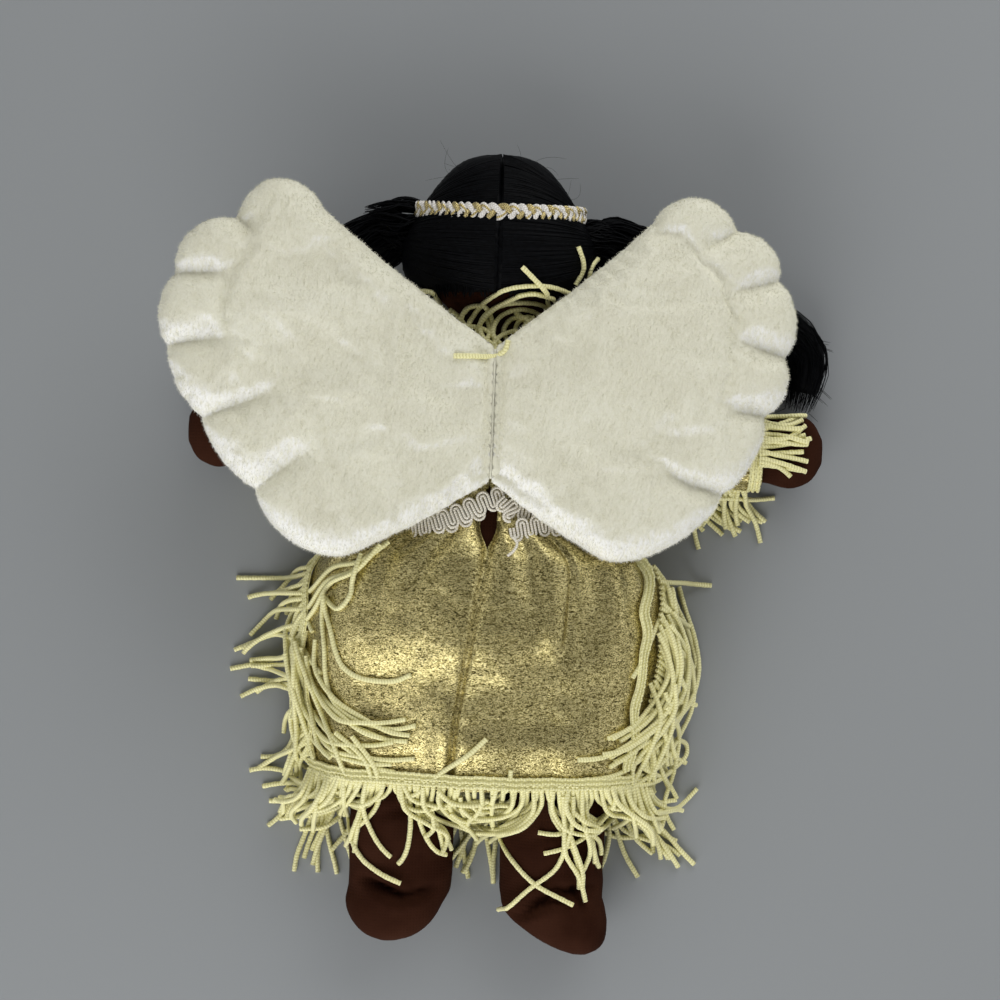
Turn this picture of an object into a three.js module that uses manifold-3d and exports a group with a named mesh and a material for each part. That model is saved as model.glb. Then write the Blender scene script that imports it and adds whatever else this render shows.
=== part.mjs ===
// A cloth angel doll lying face down: +Y towards its head, +Z up through its back, millimetres.
// The origin is on the floor, under the front panel of the skirt.
import * as THREE from "three";
import { mergeVertices } from "three/addons/utils/BufferGeometryUtils.js";
import Module from "manifold-3d";

const wasm = await Module();
wasm.setup();

// Cloth, seams and clearances
const cloth = 1.2; // dress cloth, doubled at its seams
const skin = 1.3; // sewn cover of a stuffed piece
const gap = 0.3; // between neighbouring pieces
const ease = 0.8; // looseness of the dress over the body
const seamRadius = 2; // rolled edge where a limb is sewn on
const slitWidth = 0.8; // turning slit in a cover
const slitLength = 22;
const sectionPower = 0.86; // under 1 makes a section squarer than an ellipse

// Torso, from the seat to the neck
const torsoHalfDepth = 27;
const seatY = -42;
const seatHalf = 47;
const seatRound = 8;
const hipY = -15;
const hipHalf = 49;
const waistY = 20;
const waistHalf = 40;
const waistHalfDepth = 23.5;
const chestY = 52;
const chestHalf = 43;
const chestHalfDepth = 26;
const shoulderY = 78;
const shoulderHalf = 36;
const shoulderHalfDepth = 21;
const neckLength = 11;
const neckY = 100; // nodding axis
const neckHalf = 14;
const neckHalfDepth = 12;

// Head, hair and hair tails
const headHalf = 31;
const headHalfLength = 33;
const headHalfDepth = 28.5;
const headY = 127.5;
const headCutAbove = 2.2; // flat of the head above the nodding axis
const hairThick = 4;
const hairFullness = 5; // extra width of the hair below the headband
const hairNapeY = 108;
const hairFrontZ = 15;
const bandY = 141.5;
const bandWidth = 7;
const bandThick = 2;
const tieDrop = 10.5; // ties below the middle of the headband
const tieY = bandY - tieDrop;
const tieZ = 30;
const tieRadius = 5;
const tieThick = 2.5;
const tailRadius = 11;
const tailReachRight = 129;
const tailReachLeft = 108;
const tailEndY = 74;
const eyeX = 12;
const eyeY = 131;
const eyeRadius = 3.2;
const mouthY = 116;
const mouthHalf = 7;
const stitchThick = 0.7;

// Arms and sleeves
const armY = 50;
const armHalf = 14;
const armHalfDepth = 11.5;
const handHalf = 15.5;
const handLength = 26;
const handRound = 13; // length of the rounded fingertips
const armReachRight = 136;
const armReachLeft = 125;
const sleeveStart = 3.5; // from the shoulder axis
const armHoleFront = 13; // armhole below the shoulder axis, for the arm to swing
const armHoleBack = 8;
const cuffBack = 25; // from the fingertips to the cuff

// Legs
const legX = 31;
const legHalf = 21;
const legHalfDepth = 18;
const thighDrop = 26;
const ankleY = -134;
const ankleHalfDepth = 15;
const footHalf = 22;
const footRound = 12.5; // length of the rounded toe
const footEndY = -159;

// Skirt
const skirtUpperY = 0;
const skirtUpperHalf = 66;
const skirtFullY = -34;
const skirtFullHalf = 74;
const hemY = -91;
const hemHalf = 66;
const skirtLift = 1.5; // over the seat
const hemTop = 47;
const sideSeamZ = 12;
const foldDepth = 4;
const foldCount = 8;
const slitDrop = 12; // open length at the top of the centre back seam

// Braid and fringe
const gimpWidth = 9.5;
const gimpThick = 1.8;
const gimpProud = 0.9; // over the waist seam
const tapeWidth = 6;
const tapeThick = 1.1;
const strandThick = 1.8;
const hemStrand = 46;
const sideStrand = 34;
const underarmStrand = 26;
const cuffStrand = 22;
const neckStrand = 24;

// Wings
const wingRootY = 59;
const wingRootHalf = 27;
const wingReachLeft = 131;
const wingReachRight = 124;
const wingRise = THREE.MathUtils.degToRad(6); // left wing above level
const wingDroop = THREE.MathUtils.degToRad(10); // right wing below level
const wingTop = 11; // pillow height above the seam plane
const wingUnder = 4.6; // pillow depth below it
const wingGroove = 0.45; // share of the height lost at a stitch line
const wingRootLift = 5.6; // root seam above the bodice
const wingSeamHalf = 3;

// Finishes
const finishes = {
  brownCotton: { color: 0x2e1710, roughness: 0.9 },
  fibre: { color: 0xf2f0ea, roughness: 1 },
  velvet: { color: 0xe6e2cf, roughness: 0.7 },
  goldLame: { color: 0xb59a52, roughness: 0.4, metalness: 0.6 },
  fringeCord: { color: 0xe9e2a6, roughness: 0.7 },
  scrollBraid: { color: 0xf0e8d8, roughness: 0.7 },
  hair: { color: 0x0b0b0e, roughness: 0.45 },
  bandPlait: { color: 0xd8c9a0, roughness: 0.5, metalness: 0.3 },
  hairTie: { color: 0x191512, roughness: 0.8 },
  faceThread: { color: 0x120a08, roughness: 0.8 },
};

// Closed body from points and triangles, turned so that its faces point out.
function body(points, triangles) {
  const volume = triangles.reduce((sum, [a, b, c]) => {
    return sum + points[a].dot(points[b].clone().cross(points[c]));
  }, 0);
  const order = volume < 0 ? triangles.map(([a, b, c]) => [a, c, b]) : triangles;
  const geometry = new THREE.BufferGeometry().setFromPoints(points);
  geometry.setIndex(order.flat());
  return geometry;
}

function toSolid(geometry) {
  let merged = geometry;
  if (geometry.getAttribute("normal")) {
    merged = geometry.clone();
    merged.deleteAttribute("normal");
    merged.deleteAttribute("uv");
    merged = mergeVertices(merged, 1e-4);
  }
  const vertProperties = new Float32Array(merged.getAttribute("position").array);
  const triVerts = new Uint32Array(merged.index.array);
  return new wasm.Manifold(new wasm.Mesh({ numProp: 3, vertProperties, triVerts }));
}

function toGeometry(solid) {
  const mesh = solid.getMesh();
  const geometry = new THREE.BufferGeometry();
  geometry.setAttribute("position", new THREE.BufferAttribute(mesh.vertProperties, 3));
  geometry.setIndex(new THREE.BufferAttribute(mesh.triVerts, 1));
  return geometry;
}

const cut = (geometry, ...tools) => {
  return toGeometry(tools.reduce((rest, tool) => rest.subtract(toSolid(tool)), toSolid(geometry)));
};

const join = (geometry, ...others) => {
  return toGeometry(others.reduce((sum, other) => sum.add(toSolid(other)), toSolid(geometry)));
};

function boxAt(low, high) {
  const size = new THREE.Vector3().subVectors(high, low);
  const geometry = new THREE.BoxGeometry(size.x, size.y, size.z);
  return geometry.translate(low.x + size.x / 2, low.y + size.y / 2, low.z + size.z / 2);
}

const vec = (x, y, z) => new THREE.Vector3(x, y, z);

// Left copy of a right-hand shape, with its faces pointing out again.
function mirrored(geometry) {
  geometry.scale(-1, 1, 1);
  const order = Array.from(geometry.index.array);
  for (let n = 0; n < order.length; n += 3) {
    [order[n], order[n + 1]] = [order[n + 1], order[n]];
  }
  return geometry.setIndex(order);
}

// Soft form: sections along an axis, smooth between stations, flat where it rests.
// A station is [along, half width, height above mid, depth below mid, mid height, sideways centre].
// Its faces run between rows along it and an even number of sides round it.
function softForm(stations, { place, base, rows, sides }) {
  const along = stations.map((station) => station[0]);
  const slope = (i, k) => {
    const a = Math.max(i - 1, 0);
    const b = Math.min(i + 1, stations.length - 1);
    return (stations[b][k] - stations[a][k]) / (along[b] - along[a]);
  };
  const value = (s, k) => {
    let i = along.findIndex((limit, n) => n > 0 && s <= limit) - 1;
    if (i < 0) i = along.length - 2;
    const span = along[i + 1] - along[i];
    const t = (s - along[i]) / span;
    const start = stations[i][k] * (1 + 2 * t) + span * slope(i, k) * t;
    const end = stations[i + 1][k] * (3 - 2 * t) - span * slope(i + 1, k) * (1 - t);
    return start * (1 - t) ** 2 + end * t * t;
  };
  const point = (s, angle, offset = 0) => {
    const c = Math.cos(angle);
    const n = Math.sin(angle);
    const rise = value(s, n >= 0 ? 2 : 3);
    const side = value(s, 5) + (value(s, 1) + offset) * Math.sign(c) * Math.abs(c) ** sectionPower;
    const z = value(s, 4) + (rise + offset) * Math.sign(n) * Math.abs(n) ** sectionPower;
    return place(s, side, Math.max(z, base - offset));
  };
  // Point on the flat faces between rows and sides.
  const onFace = (s, angle, offset) => {
    let row = rows.findIndex((limit, n) => n > 0 && s <= limit) - 1;
    if (row < 0) row = rows.length - 2;
    const step = (2 * Math.PI) / sides;
    const column = Math.floor(angle / step + 1e-9);
    const across = angle / step - column;
    const corner = (i, j) => {
      const turn = (column + j) * step;
      return point(rows[row + i], turn, offset(turn, rows[row + i]));
    };
    const near = corner(0, 0).lerp(corner(0, 1), across);
    const far = corner(1, 0).lerp(corner(1, 1), across);
    return near.lerp(far, (s - rows[row]) / (rows[row + 1] - rows[row]));
  };
  // Height of the form over a spot on the floor, or 0 beside it.
  const top = (s, side) => {
    if (s < along[0] || s > along.at(-1)) return 0;
    const reach = Math.abs(side - value(s, 5)) / value(s, 1);
    if (reach >= 1) return 0;
    return value(s, 4) + value(s, 2) * (1 - reach ** (2 / sectionPower)) ** (sectionPower / 2);
  };
  return { last: along.at(-1), rows, sides, point, onFace, top, value };
}

const evenRows = (first, last, count) => {
  return Array.from({ length: count }, (unused, i) => THREE.MathUtils.lerp(first, last, i / (count - 1)));
};

// The two ends of a stretch, and the grid lines between them.
function stretch(from, to, grid) {
  const near = (to - from) * 1e-3;
  return [from, ...grid.filter((value) => value > from + near && value < to - near), to];
}

// Closed skin over a soft form. trim drops rows at both ends, inset shrinks the section.
function swollen(form, { inset = 0, trim = 0 } = {}) {
  const points = [];
  const triangles = [];
  const { sides } = form;
  const rows = form.rows.slice(trim, form.rows.length - trim);
  rows.forEach((s) => {
    for (let j = 0; j < sides; j++) points.push(form.point(s, (j / sides) * 2 * Math.PI, -inset));
  });
  for (let i = 0; i + 1 < rows.length; i++) {
    for (let j = 0; j < sides; j++) {
      const a = i * sides + j;
      const b = i * sides + ((j + 1) % sides);
      triangles.push([a, b, a + sides], [b, b + sides, a + sides]);
    }
  }
  const last = (rows.length - 1) * sides;
  for (let j = 1; j + 1 < sides; j++) triangles.push([0, j + 1, j], [last, last + j, last + j + 1]);
  return body(points, triangles);
}

// Thin cloth over the faces of a soft form, between two places along it and two angles round it.
function wrap(form, { from, to, angles, inner, outer, fold = () => 0 }) {
  const closed = angles[1] - angles[0] >= 2 * Math.PI;
  const step = (2 * Math.PI) / form.sides;
  const grid = Array.from({ length: 3 * form.sides }, (unused, j) => (j - form.sides) * step);
  const turns = stretch(angles[0], angles[1], grid);
  const rows = stretch(from, to, form.rows);
  const segments = turns.length - 1;
  const columns = closed ? segments : segments + 1;
  const steps = rows.length - 1;
  const points = [];
  const triangles = [];
  const face = (a, b, c, d) => triangles.push([a, b, d], [b, c, d]);
  const index = (layer, i, j) => (layer * rows.length + i) * columns + (j % columns);
  [inner, outer].forEach((offset) => {
    rows.forEach((s) => {
      turns.slice(0, columns).forEach((angle) => {
        points.push(form.onFace(s, angle, (a, along) => offset + fold(a, along)));
      });
    });
  });
  for (let i = 0; i < steps; i++) {
    for (let j = 0; j < segments; j++) {
      face(index(0, i, j), index(0, i, j + 1), index(0, i + 1, j + 1), index(0, i + 1, j));
      triangles.push([index(1, i, j), index(1, i + 1, j), index(1, i, j + 1)]);
      triangles.push([index(1, i, j + 1), index(1, i + 1, j), index(1, i + 1, j + 1)]);
    }
  }
  for (let j = 0; j < segments; j++) {
    face(index(0, 0, j), index(1, 0, j), index(1, 0, j + 1), index(0, 0, j + 1));
    face(index(0, steps, j), index(0, steps, j + 1), index(1, steps, j + 1), index(1, steps, j));
  }
  for (let i = 0; i < steps && !closed; i++) {
    face(index(0, i, 0), index(0, i + 1, 0), index(1, i + 1, 0), index(1, i, 0));
    const k = segments;
    face(index(0, i, k), index(1, i, k), index(1, i + 1, k), index(0, i + 1, k));
  }
  return body(points, triangles);
}

// Fringe cord along hand-set points, three-sided.
function strand(points, steps = 3) {
  const half = strandThick / 2;
  const section = new THREE.Shape([
    new THREE.Vector2(-half, -half),
    new THREE.Vector2(half, -half),
    new THREE.Vector2(0, half),
  ]);
  const extrudePath = new THREE.CatmullRomCurve3(points);
  return new THREE.ExtrudeGeometry(section, { steps, extrudePath, bevelEnabled: false });
}

// Repeatable scatter between -1 and 1.
const scatter = (i, seed) => Math.sin(i * 12.9 + seed * 4.7) * Math.cos(i * 3.1 + seed);

const doll = new THREE.Group();

function add(name, finish, geometry) {
  const mesh = new THREE.Mesh(geometry, new THREE.MeshStandardMaterial(finishes[finish]));
  mesh.name = name;
  doll.add(mesh);
}

// Sewn cover with its turning slit, and the stuffing inside it.
function addStuffed(name, finish, form, slit) {
  const hollow = swollen(form, { inset: skin, trim: 1 });
  add(`${name}_cover`, finish, cut(swollen(form), hollow, slit));
  add(`${name}_stuffing`, "fibre", swollen(form, { inset: skin + gap, trim: 1 }));
}

// Torso
const torsoBase = cloth + ease;
const torsoMid = torsoBase + torsoHalfDepth;
const alongY = (s, side, z) => vec(side, s, z);
const torsoStation = (y, half, depth) => [y, half, depth, depth, torsoMid, 0];
const neckDome = [0.5, 0.85].map((share) => {
  const depth = neckHalfDepth * Math.sqrt(1 - share * share);
  return torsoStation(neckY + neckHalfDepth * share, neckHalf * (1 - share / 3), depth);
});
const torsoForm = softForm(
  [
    torsoStation(seatY, seatHalf, seamRadius),
    torsoStation(seatY + seatRound, (seatHalf + hipHalf) / 2, torsoHalfDepth * 0.75),
    torsoStation(hipY, hipHalf, torsoHalfDepth),
    torsoStation(waistY, waistHalf, waistHalfDepth),
    torsoStation(chestY, chestHalf, chestHalfDepth),
    torsoStation(shoulderY, shoulderHalf, shoulderHalfDepth),
    torsoStation(neckY - neckLength, neckHalf, neckHalfDepth),
    torsoStation(neckY, neckHalf, neckHalfDepth),
    ...neckDome,
  ],
  { place: alongY, base: torsoBase, rows: evenRows(seatY, neckDome.at(-1)[0], 13), sides: 14 },
);

function addTorso() {
  const slit = boxAt(
    vec(hipHalf - 2 * skin - slitWidth, hipY - slitLength / 2, torsoMid - slitWidth / 2),
    vec(hipHalf + skin, hipY + slitLength / 2, torsoMid + slitWidth / 2),
  );
  addStuffed("torso", "brownCotton", torsoForm, slit);
}

// Head, with a flat and a round seat for the neck
const headBase = bandThick - stitchThick;
const headZ = headBase + headHalfDepth;

function ellipsoid(inset) {
  const geometry = new THREE.SphereGeometry(1, 14, 10);
  geometry.scale(headHalf - inset, headHalfLength - inset, headHalfDepth - inset);
  return geometry.translate(0, headY, headZ);
}

function addHead() {
  const reach = headHalfLength + headHalf;
  const flat = (inset) =>
    boxAt(vec(-reach, neckY - reach, headZ - reach), vec(reach, neckY + headCutAbove + inset, headZ + reach));
  const seat = (inset) => {
    const length = 2 * (neckHalf + gap + inset);
    const radius = neckHalfDepth + gap + inset;
    const pin = new THREE.CylinderGeometry(radius, radius, length, 20);
    return pin.rotateZ(Math.PI / 2).translate(0, neckY, torsoMid);
  };
  const slit = boxAt(
    vec(-slitLength / 2, headY, headZ - slitWidth / 2),
    vec(slitLength / 2, headY + headHalfLength + skin, headZ + slitWidth / 2),
  );
  const hollow = cut(ellipsoid(skin), flat(skin), seat(skin));
  const filling = cut(ellipsoid(skin + gap), flat(skin + gap), seat(skin + gap));
  add("head_cover", "brownCotton", cut(ellipsoid(0), flat(0), seat(0), hollow, slit));
  add("head_stuffing", "fibre", filling);
}

// Eyes and mouth, flat stitching on the face side of the head
function addFace() {
  const under = ellipsoid(-gap);
  const over = ellipsoid(-gap - stitchThick);
  const patch = (outline, x, y) => {
    const stamp = { depth: headHalfDepth, curveSegments: 8, bevelEnabled: false };
    const geometry = new THREE.ExtrudeGeometry(outline, stamp);
    return geometry.translate(x, y, 0);
  };
  const layer = (plug) => toGeometry(toSolid(over).intersect(toSolid(plug)).subtract(toSolid(under)));
  const eye = new THREE.Shape().absarc(0, 0, eyeRadius, 0, 2 * Math.PI);
  const low = new THREE.Vector2(0, -mouthHalf / 2);
  const lip = new THREE.Shape();
  lip.moveTo(-mouthHalf, 0);
  lip.quadraticCurveTo(low.x, low.y, mouthHalf, 0);
  lip.quadraticCurveTo(low.x, low.y - 2 * stitchThick, -mouthHalf, 0);
  add("left_eye", "faceThread", layer(patch(eye, -eyeX, eyeY)));
  add("right_eye", "faceThread", layer(patch(eye, eyeX, eyeY)));
  add("mouth", "faceThread", layer(patch(lip, 0, mouthY)));
}

// Hair: a cap in two halves that meet at the centre part
const hairCrownY = headY + headHalfLength + hairThick;
const hairStation = (share, full) => {
  const size = Math.sqrt(Math.max(1 - share * share, 0));
  const y = headY + headHalfLength * share + hairThick * share;
  const half = (headHalf + hairThick) * size + full;
  return [y, half, (headHalfDepth + hairThick) * size + full / 3, (headHalfDepth + cloth) * size, headZ, 0];
};
const hairForm = softForm(
  [
    hairStation(-0.75, hairFullness),
    hairStation(-0.35, hairFullness),
    hairStation(0, hairFullness * 0.8),
    hairStation(0.28, hairFullness * 0.1),
    hairStation(0.5, -hairThick * 0.25),
    hairStation(0.75, -hairThick * 0.25),
    hairStation(0.9, 0),
    [hairCrownY, hairThick, hairThick, hairThick, headZ, 0],
  ],
  {
    place: alongY,
    base: bandThick + 2 * gap,
    rows: evenRows(headY - headHalfLength * 0.8, hairCrownY, 11),
    sides: 18,
  },
);

function addHair() {
  const whole = swollen(hairForm);
  const far = 4 * headHalf;
  const front = boxAt(vec(-far, 0, -far), vec(far, 2 * far + headY, hairFrontZ));
  const nape = boxAt(vec(-far, 0, -far), vec(far, hairNapeY, 2 * far));
  const cap = cut(whole, ellipsoid(-gap), front, nape);
  const half = (x0, x1) => boxAt(vec(x0, 0, -far), vec(x1, 2 * far + headY, 2 * far));
  add("hair_left", "hair", cut(cap, half(-gap / 2, far)));
  add("hair_right", "hair", cut(cap, half(-far, gap / 2)));
}

// Headband: a flat ring pressed round the hair and the forehead
function addHeadband() {
  const ring = { from: bandY - bandWidth / 2, to: bandY + bandWidth / 2, angles: [0, 2 * Math.PI] };
  add("headband", "bandPlait", wrap(hairForm, { ...ring, inner: gap, outer: gap + bandThick }));
}

// The ties sit on the widest part of the hair.
const tieX = hairForm.value(tieY, 1) + gap;

// Hair tail: a bunch that swells from its tie, lies on the floor and tapers to a cut end
function addTail(name, sign, reach) {
  const start = tieX + tieThick + gap;
  const lie = tailRadius + gap;
  const drop = tieY - tailEndY;
  const spot = (x, share, z) => vec(sign * x, tieY - drop * share, z);
  const route = new THREE.CatmullRomCurve3([
    spot(start, 0, tieZ),
    spot(start + tailRadius, 0.035, tieZ - tailRadius * 0.36),
    spot(THREE.MathUtils.lerp(start, reach, 0.55), 0.25, lie + tailRadius * 0.18),
    spot(reach - tailRadius * 0.7, 0.46, lie),
    spot(reach, 0.6, lie),
    spot(reach - tailRadius * 0.3, 1, lie - tailRadius * 0.18),
  ]);
  const girth = [0.1, 0.8, 1, 1, 0.98, 0.95, 0.9, 0.78, 0.55, 0.22];
  const sides = 10;
  const steps = girth.length - 1;
  const frames = route.computeFrenetFrames(steps);
  const points = [];
  const triangles = [];
  girth.forEach((share, i) => {
    const centre = route.getPointAt(i / steps);
    for (let j = 0; j < sides; j++) {
      const angle = (j / sides) * 2 * Math.PI;
      const rim = centre.clone();
      rim.addScaledVector(frames.normals[i], Math.cos(angle) * share * tailRadius);
      rim.addScaledVector(frames.binormals[i], Math.sin(angle) * share * tailRadius);
      rim.z = Math.max(rim.z, gap);
      points.push(rim);
    }
  });
  for (let i = 0; i < steps; i++) {
    for (let j = 0; j < sides; j++) {
      const a = i * sides + j;
      const b = i * sides + ((j + 1) % sides);
      triangles.push([a, b, a + sides], [b, b + sides, a + sides]);
    }
  }
  for (let j = 1; j + 1 < sides; j++) {
    const last = steps * sides;
    triangles.push([0, j + 1, j], [last, last + j, last + j + 1]);
  }
  const clearOfTie = boxAt(
    vec(sign > 0 ? 0 : -start, tieY - 2 * tailRadius, 0),
    vec(sign > 0 ? start : 0, tieY + 2 * tailRadius, 2 * tieZ),
  );
  add(name, "hair", cut(body(points, triangles), clearOfTie));
}

// Hair tie: a ring of cord between the cap and its tail
function addTie(name, sign) {
  const length = tieThick + 3 * gap;
  const tie = new THREE.CylinderGeometry(tieRadius, tieRadius, length, 14);
  tie.rotateZ(Math.PI / 2).translate(sign * (tieX + tieThick - length / 2), tieY, tieZ);
  add(name, "hairTie", cut(tie, swollen(hairForm, { inset: -gap })));
}

// Arms, sewn flat at the shoulder and lying out to the sides
const shoulderX = torsoForm.value(armY, 1) + gap + seamRadius;
const armZ = torsoBase + armHalfDepth;

function armForm(sign, reach) {
  const place = (s, side, z) => vec(sign * s, side, z);
  const wrist = reach - handLength;
  const slope = (s) => {
    return THREE.MathUtils.lerp(torsoMid, armZ, Math.min((s - shoulderX) / (2 * armHalfDepth), 1));
  };
  const station = (s, half, depth) => [s, half, depth, depth, slope(s), armY];
  const tip = [0.6, 0.25, 0].map((share) => reach - handRound * share);
  const rows = [...evenRows(shoulderX - seamRadius * 0.8, reach - handRound, 9), ...tip];
  return softForm(
    [
      station(shoulderX - seamRadius * 0.8, armHalf * 0.9, seamRadius * 0.6),
      station(shoulderX, armHalf * 0.9, seamRadius),
      station(shoulderX + armHalfDepth, armHalf, armHalfDepth * 0.65),
      station(shoulderX + 2.2 * armHalfDepth, armHalf, armHalfDepth),
      station(wrist, armHalf * 0.95, armHalfDepth * 0.95),
      station(reach - handRound, handHalf, armHalfDepth),
      station(reach - handRound * 0.6, handHalf * 0.93, armHalfDepth * 0.9),
      station(reach - handRound * 0.25, handHalf * 0.72, armHalfDepth * 0.7),
      station(reach, handHalf * 0.35, armHalfDepth * 0.35),
    ],
    { place, base: torsoBase, rows, sides: 10 },
  );
}

function addArm(side, sign, reach) {
  const form = armForm(sign, reach);
  const middle = (shoulderX + reach) / 2;
  const slit = boxAt(
    vec(sign * middle - slitLength / 2, armY - armHalf - skin, armZ - slitWidth / 2),
    vec(sign * middle + slitLength / 2, armY - armHalf + 2 * skin, armZ + slitWidth / 2),
  );
  addStuffed(`${side}_arm`, "brownCotton", form, slit);
  const cuff = reach - cuffBack;
  const sleeve = { from: shoulderX + sleeveStart, to: cuff, angles: [0, 2 * Math.PI] };
  add(`${side}_sleeve`, "goldLame", wrap(form, { ...sleeve, inner: ease, outer: ease + cloth }));
  addCuffFringe(side, form, cuff);
  addUnderarmFringe(side, sign, form, cuff);
}

// Cuff fringe: tape over the end of the sleeve, cords lying over the hand
function addCuffFringe(side, form, cuff) {
  const inner = ease + cloth + gap;
  const tape = wrap(form, {
    from: cuff - tapeWidth,
    to: cuff + gap,
    angles: [Math.PI * 0.12, Math.PI * 0.88],
    inner,
    outer: inner + tapeThick,
  });
  const count = 8;
  const cords = Array.from({ length: count }, (unused, i) => {
    const angle = Math.PI * THREE.MathUtils.lerp(0.16, 0.84, i / (count - 1));
    const height = inner + tapeThick / 2 + strandThick / 4;
    const end = cuff + cuffStrand * (0.91 + 0.09 * scatter(i, 1));
    const stops = [cuff - tapeWidth / 2, cuff + cuffStrand / 3, cuff + (cuffStrand * 2) / 3, end];
    return strand(stops.map((s, n) => form.onFace(Math.min(s, form.last), angle, () => height + n * gap)));
  });
  add(`${side}_cuff_fringe`, "fringeCord", join(tape, ...cords));
}

// Underarm fringe: tape along the lower seam of the sleeve, cords hanging towards the feet
function addUnderarmFringe(side, sign, form, cuff) {
  const inner = ease + cloth + gap;
  const start = shoulderX + 2.6 * armHalfDepth;
  const tape = wrap(form, {
    from: start,
    to: cuff - tapeWidth - gap,
    angles: [Math.PI * 0.96, Math.PI * 1.08],
    inner,
    outer: inner + tapeThick,
  });
  const count = 8;
  const cords = Array.from({ length: count }, (unused, i) => {
    const s = THREE.MathUtils.lerp(start + strandThick, cuff - tapeWidth - strandThick, i / (count - 1));
    const root = form.onFace(s, Math.PI * 1.02, () => inner + tapeThick / 2);
    const length = underarmStrand * (0.8 + 0.25 * scatter(i, 2));
    const lean = sign * underarmStrand * 0.15 * scatter(i, 3);
    const low = strandThick;
    return strand([
      root,
      vec(root.x + lean * 0.2, root.y - length * 0.25, root.z * 0.75),
      vec(root.x + lean * 0.6, root.y - length * 0.6, low + root.z * 0.2),
      vec(root.x + lean, root.y - length, low),
    ]);
  });
  add(`${side}_underarm_fringe`, "fringeCord", join(tape, ...cords));
}

// Legs, sewn flat at the seat, with a crease above each foot
const hipAxisY = seatY - gap - seamRadius;
const legZ = torsoBase + legHalfDepth;

function legForm(sign) {
  const station = (y, half, depth, mid = legZ) => [y, half, depth, depth, mid, sign * legX];
  const footMid = footEndY + footRound;
  const toe = [0, 0.24, 0.6].map((share) => footEndY + footRound * share);
  const rows = [...toe, ...evenRows(footMid, hipAxisY + seamRadius * 0.8, 11)];
  return softForm(
    [
      station(footEndY, footHalf * 0.35, legHalfDepth * 0.35),
      station(footEndY + footRound * 0.24, footHalf * 0.72, legHalfDepth * 0.65),
      station(footEndY + footRound * 0.6, footHalf * 0.93, legHalfDepth * 0.85),
      station(footMid, footHalf, legHalfDepth * 0.93),
      station(ankleY, legHalf * 0.96, ankleHalfDepth, torsoBase + ankleHalfDepth),
      station(ankleY + legHalf, legHalf, legHalfDepth),
      station(hipAxisY - thighDrop, legHalf, legHalfDepth, legZ + 1),
      station(hipAxisY - thighDrop / 2, legHalf * 0.95, legHalfDepth * 0.62, (legZ + torsoMid) / 2),
      station(hipAxisY, legHalf * 0.85, seamRadius, torsoMid),
      station(hipAxisY + seamRadius * 0.8, legHalf * 0.85, seamRadius * 0.6, torsoMid),
    ],
    { place: alongY, base: torsoBase, rows, sides: 12 },
  );
}

function addLeg(side, sign) {
  const middle = (hipAxisY + ankleY) / 2;
  const seam = sign * (legX - legHalf);
  const slit = boxAt(
    vec(seam - 3 * skin, middle - slitLength / 2, legZ - slitWidth / 2),
    vec(seam + 3 * skin, middle + slitLength / 2, legZ + slitWidth / 2),
  );
  addStuffed(`${side}_leg`, "brownCotton", legForm(sign), slit);
}

// Bodice: front, and two back halves with holes for the arms
function addBodice() {
  const wall = { from: waistY + gap, to: shoulderY + tapeWidth, inner: ease, outer: ease + cloth };
  const quarter = Math.PI / 2;
  const split = 0.012;
  const armHoles = [-1, 1].map((sign) => {
    const x = sign * chestHalf;
    const hole = armHalf + gap;
    return boxAt(
      vec(x - cloth * 8, armY - hole, torsoMid - armHoleFront),
      vec(x + cloth * 8, armY + hole, torsoMid + armHoleBack),
    );
  });
  const panel = (angles) => cut(wrap(torsoForm, { ...wall, angles }), ...armHoles);
  add("bodice_front", "goldLame", panel([-2 * quarter + split, -split]));
  add("bodice_back_right", "goldLame", panel([split, quarter - split]));
  add("bodice_back_left", "goldLame", panel([quarter + split, 2 * quarter - split]));
}

// Skirt: one form for the front panel and the gathered back panels
const skirtTop = torsoMid + torsoHalfDepth + skirtLift;
const braidLowY = waistY - gimpWidth / 2 - gap;
const skirtStation = (y, half, top, seam) => [y, half, top - seam, seam + cloth, seam, 0];
const bandStation = (y) => {
  const depth = torsoForm.value(y, 2) + ease;
  return [y, torsoForm.value(y, 1) + ease, depth, depth, torsoMid, 0];
};
const skirtMidY = (hemY + skirtFullY) / 2;
const skirtRows = [...evenRows(hemY, skirtUpperY, 6), (skirtUpperY + braidLowY) / 2];
const skirtForm = softForm(
  [
    skirtStation(hemY - tapeWidth, hemHalf, hemTop, sideSeamZ),
    skirtStation(hemY, hemHalf, hemTop, sideSeamZ),
    skirtStation(skirtMidY, (hemHalf + skirtFullHalf) / 2, (hemTop + skirtTop) / 2, sideSeamZ),
    skirtStation(skirtFullY, skirtFullHalf, skirtTop, sideSeamZ),
    skirtStation(skirtUpperY, skirtUpperHalf, skirtTop, (sideSeamZ + torsoMid) / 2),
    bandStation(braidLowY),
    bandStation(waistY),
  ],
  {
    place: alongY,
    base: cloth,
    rows: [hemY - tapeWidth, ...skirtRows, braidLowY, waistY],
    sides: 40,
  },
);

// Gathers deepen from the waist to the hem and fade at the side seams.
function gather(angle, y) {
  const grow = THREE.MathUtils.clamp((waistY - gimpWidth - y) / (waistY - skirtFullY), 0, 1);
  const fade = Math.max(Math.sin(angle), 0) ** 0.5;
  return foldDepth * grow * fade * (0.5 + 0.5 * Math.cos(foldCount * (angle - Math.PI / 2)));
}

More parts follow.
